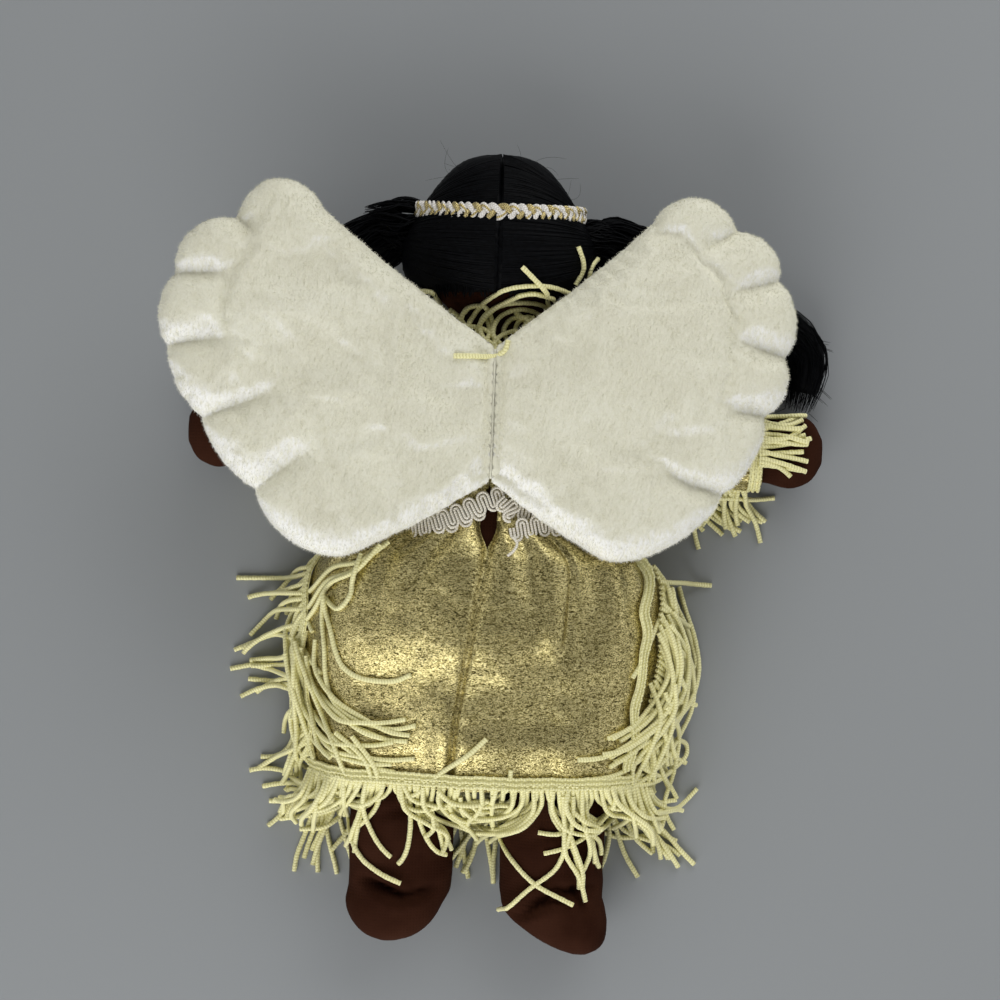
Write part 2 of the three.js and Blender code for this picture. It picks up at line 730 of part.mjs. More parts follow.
function addSkirt() {
  const split = 0.008;
  const wall = { from: hemY, to: waistY - gap, inner: 0, outer: cloth };
  const quarter = Math.PI / 2;
  const slit = boxAt(
    vec(-gap * 4, waistY - slitDrop, torsoMid),
    vec(gap * 4, waistY + slitDrop, 2 * skirtTop),
  );
  const back = (angles) => {
    return cut(wrap(skirtForm, { ...wall, angles, fold: gather }), slit);
  };
  add("skirt_front", "goldLame", wrap(skirtForm, { ...wall, angles: [-2 * quarter + split, -split] }));
  add("skirt_back_right", "goldLame", back([split, quarter - split]));
  add("skirt_back_left", "goldLame", back([quarter + split, 2 * quarter - split]));
}

// Scroll braid round the waist, in two halves that meet at the slit
function addGimp() {
  const split = 0.03;
  const inner = ease + cloth + gap + gimpProud;
  const strip = { from: waistY - gimpWidth / 2, to: waistY + gimpWidth / 2 };
  const half = Math.PI / 2;
  const braid = (angles) => wrap(torsoForm, { ...strip, angles, inner, outer: inner + gimpThick });
  add("waist_braid_right", "scrollBraid", braid([-half + split, half - split]));
  add("waist_braid_left", "scrollBraid", braid([half + split, 3 * half - split]));
}

// Ground under a fringe cord: the legs, or the floor
const legForms = [-1, 1].map(legForm);
const legTop = (x, y) => Math.max(...legForms.map((form) => form.top(y, x)));

// Back hem fringe: tape on the hem, cords falling over the legs
function addBackHem() {
  const inner = cloth + gap;
  const span = [Math.PI * 0.1, Math.PI * 0.9];
  const tape = wrap(skirtForm, {
    from: hemY - tapeWidth / 2,
    to: hemY + tapeWidth / 2,
    angles: span,
    inner,
    outer: inner + tapeThick,
    fold: gather,
  });
  const count = 22;
  const cords = Array.from({ length: count }, (unused, i) => {
    const angle = THREE.MathUtils.lerp(span[0] + 0.04, span[1] - 0.04, i / (count - 1));
    const height = (turn, y) => inner + tapeThick / 2 + gather(turn, y);
    const root = skirtForm.onFace(hemY - tapeWidth / 3, angle, height);
    const length = hemStrand * (0.85 + 0.2 * scatter(i, 4));
    const lean = hemStrand * 0.2 * scatter(i, 5);
    const beside = 1.7 * strandThick;
    const spots = [0.12, 0.35, 0.6, 0.8, 1].map((share) => {
      const x = root.x + lean * share * share;
      const y = root.y - length * share;
      const ground = Math.max(legTop(x - beside, y), legTop(x, y), legTop(x + beside, y)) + 2 * strandThick;
      const fall = THREE.MathUtils.lerp(root.z, strandThick, Math.min(share * 1.15, 1));
      return vec(x, y, Math.max(ground, fall));
    });
    return strand([root, ...spots], 4);
  });
  add("hem_fringe_back", "fringeCord", join(tape, ...cords));
}

// Front hem fringe: tape under the hem of the front panel, cords on the floor clear of the legs
function addFrontHem() {
  const half = hemHalf * 0.97;
  const tape = boxAt(vec(-half, hemY - gap - tapeWidth, 0), vec(half, hemY - gap, tapeThick));
  const count = 22;
  const cords = [];
  for (let i = 0; i < count; i++) {
    const x = THREE.MathUtils.lerp(-half + strandThick, half - strandThick, i / (count - 1));
    const outer = Math.abs(x) > legX + legHalf;
    const inner = Math.abs(x) < legX - legHalf;
    if (!outer && !inner) continue;
    const length = hemStrand * (0.8 + 0.2 * scatter(i, 6));
    const spread = outer ? Math.sign(x) * hemStrand * 0.22 * (0.6 + 0.4 * scatter(i, 7)) : 0;
    const lean = spread + strandThick * 0.8 * scatter(i, 7);
    const y = hemY - gap - tapeWidth / 2;
    const low = strandThick / 2;
    cords.push(
      strand([
        vec(x, y, low),
        vec(x + lean * 0.3, y - length * 0.35, low * 1.3),
        vec(x + lean * 0.7, y - length * 0.7, low),
        vec(x + lean, y - length, low),
      ]),
    );
  }
  add("hem_fringe_front", "fringeCord", join(tape, ...cords));
}

// Side fringe: tape along the side seam, cords reaching out and down to the floor
function addSideFringe(side, sign) {
  const inner = cloth + gap;
  const seamAngle = sign > 0 ? 0 : Math.PI;
  const spread = 0.13;
  const angles = [seamAngle - spread, seamAngle + spread];
  const top = waistY - 2 * gimpWidth;
  const end = hemY + 2 * tapeWidth;
  const tape = wrap(skirtForm, { from: end, to: top, angles, inner, outer: inner + tapeThick, fold: gather });
  const count = 12;
  const cords = Array.from({ length: count }, (unused, i) => {
    const y = THREE.MathUtils.lerp(top - strandThick, end + strandThick, i / (count - 1));
    const root = skirtForm.onFace(y, seamAngle, () => inner + tapeThick);
    const length = sideStrand * (0.8 + 0.25 * scatter(i, 8));
    const drift = sideStrand * (0.35 * scatter(i, 9) - 0.18);
    return strand([
      root,
      vec(root.x + sign * length * 0.3, y + drift * 0.2, root.z * 0.95),
      vec(root.x + sign * length * 0.7, y + drift * 0.6, root.z * 0.45),
      vec(root.x + sign * length, y + drift, strandThick),
    ]);
  });
  add(`${side}_side_fringe`, "fringeCord", join(tape, ...cords));
}

// Neck fringe: tape round the back of the neck, cords looping up and over
function addNeckFringe() {
  const inner = ease + cloth + gap;
  const from = shoulderY + tapeWidth / 2;
  const tape = wrap(torsoForm, {
    from,
    to: from + tapeWidth,
    angles: [Math.PI * 0.16, Math.PI * 0.84],
    inner,
    outer: inner + tapeThick,
  });
  const count = 10;
  const cords = Array.from({ length: count }, (unused, i) => {
    const angle = Math.PI * THREE.MathUtils.lerp(0.3, 0.7, i / (count - 1));
    const root = torsoForm.onFace(from + tapeWidth / 2, angle, () => inner + tapeThick / 2);
    const length = neckStrand * (0.8 + 0.2 * scatter(i, 10));
    const lean = neckStrand * 0.25 * scatter(i, 11);
    return strand([
      root,
      vec(root.x + lean * 0.2, root.y + length * 0.25, root.z + length * 0.14),
      vec(root.x + lean * 0.7, root.y + length * 0.6, root.z + length * 0.22),
      vec(root.x + lean, root.y + length * 0.85, root.z + length * 0.2),
    ]);
  });
  add("neck_fringe", "fringeCord", join(tape, ...cords));
}

// Wing outline: straight upper edge, six lobes between notches, lower edge back to the root.
// Notches and lobe crowns are along the wing and up it, from the middle of the root seam.
const wingNotches = [
  [73, 81],
  [97, 72],
  [118, 50],
  [121, 23],
  [111, -3],
  [93, -31],
  [48, -55],
];
const lobeBulge = [13, 9, 8, 7, 6.5, 15];
const lobePoints = 5;
const wingReachDrawn = 127; // reach that the notches are drawn for

function wingOutline(reach) {
  const longer = reach / wingReachDrawn;
  const outline = [];
  const tag = (u, v, notch) => outline.push({ u: u * longer, v, notch });
  tag(0, -wingRootHalf, 0);
  tag(0, 0, 0);
  tag(0, wingRootHalf, 0);
  const [first] = wingNotches;
  [0.3, 0.65].forEach((t) => {
    tag(first[0] * t, THREE.MathUtils.lerp(wingRootHalf, first[1], t) - 1.5 * Math.sin(Math.PI * t), 0);
  });
  lobeBulge.forEach((bulge, i) => {
    const [u0, v0] = wingNotches[i];
    const [u1, v1] = wingNotches[i + 1];
    const length = Math.hypot(u1 - u0, v1 - v0);
    for (let k = 0; k < lobePoints; k++) {
      const t = k / lobePoints;
      const out = bulge * Math.sin(Math.PI * t) ** 0.8;
      tag(
        u0 + (u1 - u0) * t - (out * (v1 - v0)) / length,
        v0 + (v1 - v0) * t + (out * (u1 - u0)) / length,
        k === 0 && i > 0 ? 1 : 0,
      );
    }
  });
  const last = wingNotches.at(-1);
  tag(last[0], last[1], 0);
  tag(last[0] * 0.5, THREE.MathUtils.lerp(-wingRootHalf, last[1], 0.5) - 2, 0);
  return outline;
}

// Pillow over the outline: rings drawn in towards its middle, lower along the stitch lines.
function pillow(reach, inset) {
  const outline = wingOutline(reach);
  const middle = { u: reach * 0.45, v: 3 };
  const rings = [
    { share: 1, height: 0, groove: 0 },
    { share: 0.93, height: 0.55, groove: wingGroove },
    { share: 0.82, height: 0.85, groove: wingGroove / 2 },
    { share: 0.66, height: 0.97, groove: 0 },
  ];
  const points = [];
  const triangles = [];
  const count = outline.length;
  const spot = (p, share) => {
    const u = p.u - middle.u;
    const v = p.v - middle.v;
    const shrink = share - inset / Math.hypot(u, v);
    return [middle.u + u * shrink, middle.v + v * shrink];
  };
  const layer = (ring, side) => {
    const start = points.length;
    outline.forEach((p) => {
      const [u, v] = spot(p, ring.share);
      const stitch = p.notch ? 1 - ring.groove : 1;
      const root = Math.min(u / (reach * 0.3), 1);
      const full = (side > 0 ? wingTop : wingUnder) * ring.height * stitch * (0.25 + 0.75 * root);
      points.push(vec(u, v, side * Math.max(full - inset * ring.height, 0)));
    });
    return start;
  };
  const band = (a, b) => {
    for (let j = 0; j < count; j++) {
      const k = (j + 1) % count;
      triangles.push([a + j, a + k, b + j], [a + k, b + k, b + j]);
    }
  };
  const rim = layer(rings[0], 1);
  [1, -1].forEach((side) => {
    const inward = triangles.length;
    let previous = rim;
    rings.slice(1).forEach((ring) => {
      const next = layer(ring, side);
      band(previous, next);
      previous = next;
    });
    const height = (side > 0 ? wingTop : wingUnder) - inset;
    const crown = points.push(vec(middle.u, middle.v, side * height)) - 1;
    for (let j = 0; j < count; j++) triangles.push([previous + j, previous + ((j + 1) % count), crown]);
    if (side < 0) {
      for (let n = inward; n < triangles.length; n++) triangles[n].reverse();
    }
  });
  return body(points, triangles);
}

// The wings hang on one root seam over the middle of the back.
const bodiceTop = torsoMid + torsoForm.value(wingRootY, 2) + ease + cloth;
const wingRootZ = bodiceTop + wingRootLift;

function addWing(side, sign, reach, lift) {
  const seat = (geometry) => {
    const placed = geometry.rotateY(-lift).translate(gap, wingRootY, wingRootZ);
    return sign > 0 ? placed : mirrored(placed);
  };
  const [tipU, tipV] = wingNotches.at(-1);
  const slit = boxAt(
    vec(tipU * 0.4, tipV, -slitWidth / 2),
    vec(tipU * 0.4 + slitLength, -wingRootHalf, slitWidth / 2),
  );
  const hollow = pillow(reach, 2 * skin);
  add(`${side}_wing_cover`, "velvet", cut(seat(pillow(reach, 0)), seat(hollow), seat(slit)));
  add(`${side}_wing_stuffing`, "fibre", seat(pillow(reach, 2 * (skin + gap))));
}

// Seam allowance of the wings, tacked to the back of the bodice
function addWingSeam() {
  const top = wingRootZ - gap - wingUnder * 0.2;
  const strip = boxAt(
    vec(-wingSeamHalf, wingRootY - wingRootHalf + seamRadius, bodiceTop - 3),
    vec(wingSeamHalf, wingRootY + wingRootHalf - seamRadius, top),
  );
  const back = wrap(torsoForm, {
    from: waistY - gimpWidth,
    to: neckY - neckLength,
    angles: [0, 2 * Math.PI],
    inner: -3 * skin,
    outer: ease + cloth + gap,
  });
  add("wing_seam", "velvet", cut(strip, back));
}

addTorso();
addHead();
addFace();
addHair();
addHeadband();
addTie("left_hair_tie", -1);
addTie("right_hair_tie", 1);
addTail("left_pigtail", -1, tailReachLeft);
addTail("right_pigtail", 1, tailReachRight);
addArm("left", -1, armReachLeft);
addArm("right", 1, armReachRight);
addLeg("left", -1);
addLeg("right", 1);
addBodice();
addSkirt();
addGimp();
addBackHem();
addFrontHem();
addSideFringe("left", -1);
addSideFringe("right", 1);
addNeckFringe();
addWing("left", -1, wingReachLeft, wingRise);
addWing("right", 1, wingReachRight, -wingDroop);
addWingSeam();

export default doll;
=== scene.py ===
import math
import random

import bmesh
import bpy
import numpy as np
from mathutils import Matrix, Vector, noise
from mathutils.bvhtree import BVHTree
from mathutils.geometry import delaunay_2d_cdt, interpolate_bezier


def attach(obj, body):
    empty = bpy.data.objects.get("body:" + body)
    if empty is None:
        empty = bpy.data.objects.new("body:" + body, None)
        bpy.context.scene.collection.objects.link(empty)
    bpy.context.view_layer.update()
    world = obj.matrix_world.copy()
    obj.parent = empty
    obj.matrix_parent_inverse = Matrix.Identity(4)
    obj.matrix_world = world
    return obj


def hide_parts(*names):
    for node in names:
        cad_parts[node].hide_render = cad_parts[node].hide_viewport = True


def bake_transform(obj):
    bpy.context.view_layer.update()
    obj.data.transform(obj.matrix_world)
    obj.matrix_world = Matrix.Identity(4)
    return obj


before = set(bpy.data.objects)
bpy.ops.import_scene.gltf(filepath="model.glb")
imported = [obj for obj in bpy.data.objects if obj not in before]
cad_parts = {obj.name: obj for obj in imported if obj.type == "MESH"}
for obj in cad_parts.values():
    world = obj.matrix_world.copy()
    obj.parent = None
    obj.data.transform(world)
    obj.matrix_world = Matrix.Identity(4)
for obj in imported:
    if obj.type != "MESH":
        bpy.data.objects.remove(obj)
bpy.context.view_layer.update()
mm = 0.001
power = 0.86  # section of a stuffed piece, squarer than an ellipse
signs = {"left": -1, "right": 1}
scene = bpy.context.scene
print("frame loaded:", len(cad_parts), "nodes")


# small helpers, all places in millimetres

def lerp(a, b, t):
    return a + (b - a) * t


def clamp(x, low=0.0, high=1.0):
    return max(low, min(high, x))


def ease(x, low, high):
    t = clamp((x - low) / (high - low))
    return t * t * (3 - 2 * t)


def bell(x, wide):  # smooth bump of height one
    return math.exp(-(x / wide) ** 2)


def wobble(x, y, z):  # soft noise
    return noise.noise((x, y, z))


def signed(x, p):
    return math.copysign(abs(x) ** p, x)


def spread(first, last, count):
    return [lerp(first, last, i / (count - 1)) for i in range(count)]


def titled(key):
    return key[0].upper() + key[1:]


def runOf(line):  # length along a line at each of its points
    run = [0.0]
    for a, b in zip(line, line[1:]):
        run.append(run[-1] + (b - a).length)
    return run


def linked(name, data):
    made = bpy.data.objects.new(name, data)
    scene.collection.objects.link(made)
    return made


def newPiece(name, points, faces, material):
    mesh = bpy.data.meshes.new(name)
    mesh.from_pydata([(p[0] * mm, p[1] * mm, p[2] * mm) for p in points], [], faces)
    mesh.polygons.foreach_set("use_smooth", [True] * len(mesh.polygons))
    mesh.materials.append(material)
    mesh.update()
    return linked(name, mesh)


def faceOut(piece):
    work = bmesh.new()
    work.from_mesh(piece.data)
    bmesh.ops.remove_doubles(work, verts=work.verts, dist=1e-6)
    bmesh.ops.recalc_face_normals(work, faces=work.faces)
    work.to_mesh(piece.data)
    work.free()
    return piece


def bake(piece):  # modifiers become plain mesh
    graph = bpy.context.evaluated_depsgraph_get()
    done = bpy.data.meshes.new_from_object(piece.evaluated_get(graph))
    piece.modifiers.clear()
    piece.data = done
    return piece


def thicken(piece, thickness, offset=0.0):
    wall = piece.modifiers.new("wall", "SOLIDIFY")
    wall.thickness = thickness * mm
    wall.offset = offset
    return bake(piece)


# soft forms: sections along an axis, smooth between stations
# a station is along, half width, height, depth, mid height, sideways centre

def level(rows, mid):  # stations as deep as they are high
    return [(s, half, depth, depth, mid, 0) for s, half, depth in rows]


def stationAt(stations, s):
    last = len(stations) - 1
    i = 0
    while i < last - 1 and s > stations[i + 1][0]:
        i += 1
    span = stations[i + 1][0] - stations[i][0]
    t = (s - stations[i][0]) / span
    found = []
    for k in range(1, 6):
        def slope(n):
            a, b = max(n - 1, 0), min(n + 1, last)
            return (stations[b][k] - stations[a][k]) / (stations[b][0] - stations[a][0])
        near = stations[i][k] * (1 + 2 * t) + span * slope(i) * t
        far = stations[i + 1][k] * (3 - 2 * t) - span * slope(i + 1) * (1 - t)
        found.append(near * (1 - t) ** 2 + far * t * t)
    return found


def sectionPoint(values, angle, lift=0.0, base=-1e6):
    half, up, down, mid, side = values
    c, n = math.cos(angle), math.sin(angle)
    rise = up if n >= 0 else down
    return side + (half + lift) * signed(c, power), max(mid + (rise + lift) * signed(n, power), base)


def loft(rows, closed=True, caps=True):  # faces over a grid of points
    points = [p for row in rows for p in row]
    n = len(rows[0])
    faces = []
    for i in range(len(rows) - 1):
        for j in range(n if closed else n - 1):
            a, b = i * n + j, i * n + (j + 1) % n
            faces.append((a, b, b + n, a + n))
    if caps:
        faces.append(tuple(range(n))[::-1])
        faces.append(tuple(range(len(points) - n, len(points))))
    return points, faces


def toSegment(x, y, a, b):  # distance to a straight line, and the share along it
    dx, dy = b[0] - a[0], b[1] - a[1]
    t = clamp(((x - a[0]) * dx + (y - a[1]) * dy) / (dx * dx + dy * dy))
    return math.hypot(x - a[0] - dx * t, y - a[1] - dy * t), t


def smoothPath(points, count):  # curve through a few given points
    made = []
    n = len(points)
    for i in range(n - 1):
        a, b = Vector(points[i]), Vector(points[i + 1])
        before = Vector(points[max(i - 1, 0)])
        after = Vector(points[min(i + 2, n - 1)])
        part = interpolate_bezier(a, a + (b - before) / 6, b - (after - a) / 6, b, count)
        made += [tuple(p) for p in (part if i == n - 2 else part[:-1])]
    return made


class Tree:  # nodes and links of a material, a world or a geometry group
    def __init__(self, tree):
        self.nodes = tree.nodes
        self.links = tree.links

    def feed(self, socket, value):  # a link, a colour or a plain value
        if isinstance(value, bpy.types.NodeSocket):
            self.links.new(value, socket)
        elif socket.type == "RGBA":
            socket.default_value = (*value, 1)
        else:
            socket.default_value = value

    def fill(self, node, feeds):
        for name, value in feeds.items():
            self.feed(node.inputs[name], value)
        return node

    def node(self, kind, **feeds):
        return self.fill(self.nodes.new(kind), feeds)

    def pattern(self, kind, scale, stretchBy=(1, 1, 1), **values):
        coords = self.node("ShaderNodeTexCoord").outputs["Object"]
        mapping = self.node("ShaderNodeMapping", Vector=coords, Scale=stretchBy)
        made = self.node("ShaderNodeTex" + kind, Vector=mapping.outputs["Vector"], Scale=scale)
        self.fill(made, {key.capitalize(): value for key, value in values.items()})
        return made.outputs["Fac"]

    def attribute(self, name):
        made = self.node("ShaderNodeAttribute")
        made.attribute_name = name
        return made.outputs["Fac"]

    def ramp(self, source, stops):
        made = self.node("ShaderNodeValToRGB", Fac=source)
        band = made.color_ramp.elements
        while len(band) < len(stops):
            band.new(0.5)
        for element, (place, color) in zip(band, stops):
            element.position = place
            element.color = (*color, 1)
        return made.outputs["Color"]

    def mix(self, factor, a, b):
        made = self.node("ShaderNodeMix")
        made.data_type = "RGBA"
        for i, value in ((0, factor), (6, a), (7, b)):
            self.feed(made.inputs[i], value)
        return made.outputs[2]

    def sums(self, kind, a, b=None):
        made = self.node("ShaderNodeMath")
        made.operation = kind
        self.feed(made.inputs[0], a)
        if b is not None:
            self.feed(made.inputs[1], b)
        return made.outputs[0]

    def bump(self, shader, height, strength, distance):
        made = self.node("ShaderNodeBump", Strength=strength, Distance=distance, Height=height)
        self.feed(shader.inputs["Normal"], made.outputs["Normal"])


def newMaterial(name, color, roughness, metallic=0.0, sheen=0.0, sheenRoughness=0.4, specular=0.5):
    made = bpy.data.materials.new(name)
    made.use_nodes = True
    made.diffuse_color = (*color, 1)
    tree = Tree(made.node_tree)
    values = {
        "Base Color": color, "Roughness": roughness, "Metallic": metallic, "Specular IOR Level": specular,
    }
    if sheen:
        values.update({"Sheen Weight": sheen, "Sheen Roughness": sheenRoughness})
    return made, tree, tree.fill(tree.nodes["Principled BSDF"], values)


# brown cotton of the body: fine plain weave, a little faded in patches
cottonLook = {"color": (0.024, 0.0078, 0.004), "pale": (0.040, 0.0145, 0.0078), "threads": 250}


def makeCotton():
    look = cottonLook
    made, tree, shader = newMaterial("brownCotton", look["color"], 0.9, specular=0.03)
    cloud = tree.pattern("Noise", 55, detail=4)
    tree.feed(shader.inputs["Base Color"], tree.ramp(cloud, [(0.35, look["color"]), (0.75, look["pale"])]))
    warp = tree.pattern("Wave", look["threads"], distortion=1.2)
    weft = tree.pattern("Wave", look["threads"], distortion=1.2)
    weft.node.bands_direction = "Y"
    tree.bump(shader, tree.sums("MULTIPLY", warp, weft), 0.35, 0.0003)
    return made


# gold lamé: dark woven ground under crinkled foil that breaks up in fine wavy flecks
lameLook = {
    "foil": (0.40, 0.335, 0.122), "pale": (0.88, 0.775, 0.39), "ground": (0.062, 0.048, 0.013), "fleck": 1500,
}


def makeLame():
    look = lameLook
    made, tree, shader = newMaterial("goldLame", look["foil"], 0.34, metallic=0.92)
    wave = tree.pattern("Noise", look["fleck"], (0.5, 1.0, 0.7), detail=2, distortion=1.6)
    grain = tree.pattern("Noise", look["fleck"] * 1.9, (0.8, 1.0, 0.9), detail=2)
    tone = tree.mix(0.28, wave, grain)
    color = tree.ramp(tone, [(0.40, look["ground"]), (0.49, look["foil"]), (0.58, look["pale"])])
    rough = tree.ramp(tone, [(0.4, (0.44,) * 3), (0.6, (0.29,) * 3)])
    tree.fill(shader, {"Base Color": color, "Roughness": rough})
    tree.bump(shader, tone, 0.42, 0.0005)
    return made


# panne velvet: cream pile, brushed over the lower sides, where a painted sheen highlight shows white
velvetLook = {
    "pile": (0.80, 0.785, 0.64), "deep": (0.73, 0.71, 0.565), "high": (0.84, 0.83, 0.70),
    "paintedSheen": (0.90, 0.895, 0.85), "sheen": (1.0, 0.98, 0.93),
}


def makeVelvet():
    look = velvetLook
    made, tree, shader = newMaterial("wingVelvet", look["pile"], 0.62, sheen=0.45, sheenRoughness=0.35)
    speck = tree.pattern("Noise", 1100, (1, 0.7, 1), detail=3, roughness=0.65)
    cloud = tree.pattern("Noise", 38, detail=4, roughness=0.6)
    tone = tree.mix(0.5, speck, cloud)
    pile = tree.ramp(tone, [(0.36, look["deep"]), (0.54, look["pile"]), (0.68, look["high"])])
    streak = tree.pattern("Noise", 520, (1.5, 0.4, 1.0), detail=4, roughness=0.75)
    comb = tree.ramp(streak, [(0.40, (0.0,) * 3), (0.60, (1.0,) * 3)])
    # painted sheen highlight: the mask from the surface's facing, broken into streaks, mixes the pile towards
    # white
    share = tree.sums("MULTIPLY", tree.attribute("sheenMask"), tree.sums("ADD", comb, 0.3))
    share = tree.sums("MINIMUM", share, 1.0)
    color = tree.mix(share, pile, look["paintedSheen"])
    rough = tree.sums("SUBTRACT", 0.66, tree.sums("MULTIPLY", share, 0.24))
    tree.fill(shader, {"Base Color": color, "Roughness": rough, "Sheen Tint": look["sheen"]})
    tree.bump(shader, tree.sums("ADD", speck, streak), 0.5, 0.0006)
    return made


# rayon cord: the chain stitch runs along each cord by its own length, with painted shade in its dips
cordLook = {"color": (0.90, 0.865, 0.48), "shade": (0.70, 0.65, 0.29), "stitch": 1.2}


def makeCord(name, color, shade, stitch, roughness=0.5, metallic=0.0):
    made, tree, shader = newMaterial(name, color, roughness, metallic, sheen=0.2)
    wave = tree.sums("MULTIPLY", tree.attribute("along"), 2 * math.pi / (stitch * mm))
    lean = tree.sums("MULTIPLY", tree.attribute("around"), 4 * math.pi)
    chain = tree.sums("SINE", tree.sums("ADD", wave, tree.sums("SINE", lean)))
    height = tree.sums("ADD", tree.sums("MULTIPLY", chain, 0.5), 0.5)
    # painted shade: the colour darkens into the dips of the chain stitch, with a random tone on top
    tone = tree.sums("MULTIPLY", height, tree.pattern("Noise", 60, detail=3))
    tree.feed(shader.inputs["Base Color"], tree.ramp(tone, [(0.02, shade), (0.35, color)]))
    tree.bump(shader, height, 0.4, 0.00025)
    return made


def makeHairFibre():
    made, tree, shader = newMaterial("hairFibre", (0.002, 0.002, 0.003), 0.5, specular=0.05)
    grain = tree.pattern("Noise", 700, detail=2)
    color = tree.ramp(grain, [(0.3, (0.0006, 0.0006, 0.0008)), (0.75, (0.0026, 0.003, 0.004))])
    tree.feed(shader.inputs["Base Color"], color)
    return made


cotton = makeCotton()
lame = makeLame()
velvet = makeVelvet()
cordStuff = makeCord("fringeCord", cordLook["color"], cordLook["shade"], cordLook["stitch"])
braidStuff = makeCord("scrollBraid", (0.92, 0.88, 0.77), (0.68, 0.62, 0.50), 0.9)
whiteStuff = makeCord("plaitWhite", (0.88, 0.86, 0.82), (0.62, 0.58, 0.52), 0.9)
goldStuff = makeCord("plaitGold", (0.70, 0.58, 0.28), (0.26, 0.20, 0.07), 0.7, 0.3, 0.9)
faceStuff = makeCord("faceThread", (0.012, 0.007, 0.006), (0.006, 0.004, 0.004), 0.8)
lipStuff = makeCord("lipThread", (0.16, 0.03, 0.025), (0.09, 0.015, 0.012), 0.8)
hairStuff = makeHairFibre()
print("materials made")


# Geometry Nodes groups, with named inputs for their sizes

def newGroup(name, floats, whole):
    group = bpy.data.node_groups.new(name, "GeometryNodeTree")
    sockets = [("Geometry", "Geometry", None)]
    sockets += [(key, "Float", value) for key, value in floats.items()]
    sockets += [(key, "Int", value) for key, value in whole.items()]
    for key, kind, value in sockets + [("Material", "Material", None)]:
        made = group.interface.new_socket(key, in_out="INPUT", socket_type="NodeSocket" + kind)
        if value is not None:
            made.default_value = value
    group.interface.new_socket("Geometry", in_out="OUTPUT", socket_type="NodeSocketGeometry")
    tree = Tree(group)
    return group, tree, tree.node("NodeGroupInput").outputs


def endGroup(tree, start, shapes):
    real = tree.node("GeometryNodeRealizeInstances", Geometry=shapes).outputs["Geometry"]
    paint = tree.node("GeometryNodeSetMaterial", Geometry=real, Material=start["Material"])
    tree.node("NodeGroupOutput", Geometry=paint.outputs["Geometry"])


def runGroup(piece, group, values):
    live = piece.modifiers.new("live", "NODES")
    live.node_group = group
    for item in group.interface.items_tree:
        if item.in_out == "INPUT" and item.name in values:
            live[item.identifier] = values[item.name]


def makeCordTree():  # round threads along curves, with the swell of their stitches
    sizes = {"Radius": 0.0009, "Spacing": 0.001, "Stitch": 0.00125, "Swell": 0.1, "Taper": 0.0}
    group, tree, start = newGroup("cordTree", sizes, {"Sides": 6})
    even = tree.node("GeometryNodeResampleCurve")
    even.mode = "LENGTH"
    tree.fill(even, {"Curve": start["Geometry"], "Length": start["Spacing"]})
    place = tree.node("GeometryNodeSplineParameter").outputs

    def store(name, curve, value):
        feeds = {"Name": name, "Geometry": curve.outputs["Curve"], "Value": value}
        return tree.node("GeometryNodeStoreNamedAttribute", **feeds).outputs["Geometry"]
    line = store("along", even, place["Length"])
    circle = tree.node("GeometryNodeCurvePrimitiveCircle", Resolution=start["Sides"], Radius=start["Radius"])
    ring = store("around", circle, tree.node("GeometryNodeSplineParameter").outputs["Factor"])
    wave = tree.sums("MULTIPLY", place["Length"], 2 * math.pi)
    wave = tree.sums("SINE", tree.sums("DIVIDE", wave, start["Stitch"]))
    size = tree.sums("ADD", tree.sums("MULTIPLY", wave, start["Swell"]), 1.0)
    thin = tree.sums("MULTIPLY", tree.sums("POWER", place["Factor"], 3.0), start["Taper"])
    size = tree.sums("MULTIPLY", size, tree.sums("SUBTRACT", 1.0, thin))
    tube = tree.node("GeometryNodeCurveToMesh", Curve=line, Scale=size)
    tree.fill(tube, {"Profile Curve": ring, "Fill Caps": True})
    soft = tree.node("GeometryNodeSetShadeSmooth", Geometry=tube.outputs["Mesh"])
    endGroup(tree, start, soft.outputs["Geometry"])
    return group


cordTree = makeCordTree()


def cords(name, paths, material, radius, spacing=1.0, stitch=1.25, swell=0.1, sides=6, taper=0.0):
    line = bpy.data.curves.new(name + "Line", "CURVE")
    line.dimensions = "3D"
    for path in paths:
        spline = line.splines.new("POLY")
        spline.points.add(len(path) - 1)
        spline.points.foreach_set("co", [c for p in path for c in (p[0] * mm, p[1] * mm, p[2] * mm, 1)])
    source = linked(name + "Line", line)
    runGroup(source, cordTree, {
        "Radius": radius * mm, "Spacing": spacing * mm, "Stitch": stitch * mm, "Swell": swell, "Taper": taper,
        "Sides": sides, "Material": material,
    })
    graph = bpy.context.evaluated_depsgraph_get()
    mesh = bpy.data.meshes.new_from_object(source.evaluated_get(graph))
    piece = linked(name, mesh)
    bpy.data.objects.remove(source)
    return piece


def joined(name, parts):  # several pieces become one mesh
    work = bmesh.new()
    stuffs = []
    for part in parts:
        shift = []
        for material in part.data.materials:
            if material not in stuffs:
                stuffs.append(material)
            shift.append(stuffs.index(material))
        before = len(work.faces)
        work.from_mesh(part.data)
        work.faces.ensure_lookup_table()
        for face in work.faces[before:]:
            face.material_index = shift[face.material_index]
    mesh = bpy.data.meshes.new(name)
    work.to_mesh(mesh)
    work.free()
    for material in stuffs:
        mesh.materials.append(material)
    for part in parts:
        bpy.data.objects.remove(part)
    return linked(name, mesh)


def groundUnder(*pieces):  # height of what lies under a spot, or the floor
    trees = []
    for piece in pieces:
        points = [v.co.copy() for v in piece.data.vertices]
        trees.append(BVHTree.FromPolygons(points, [f.vertices for f in piece.data.polygons]))

    def height(x, y):
        top = 0.0
        for tree in trees:
            hit = tree.ray_cast(Vector((x * mm, y * mm, 0.3)), Vector((0, 0, -1)))[0]
            if hit is not None:
                top = max(top, hit.z / mm)
        return top
    return height


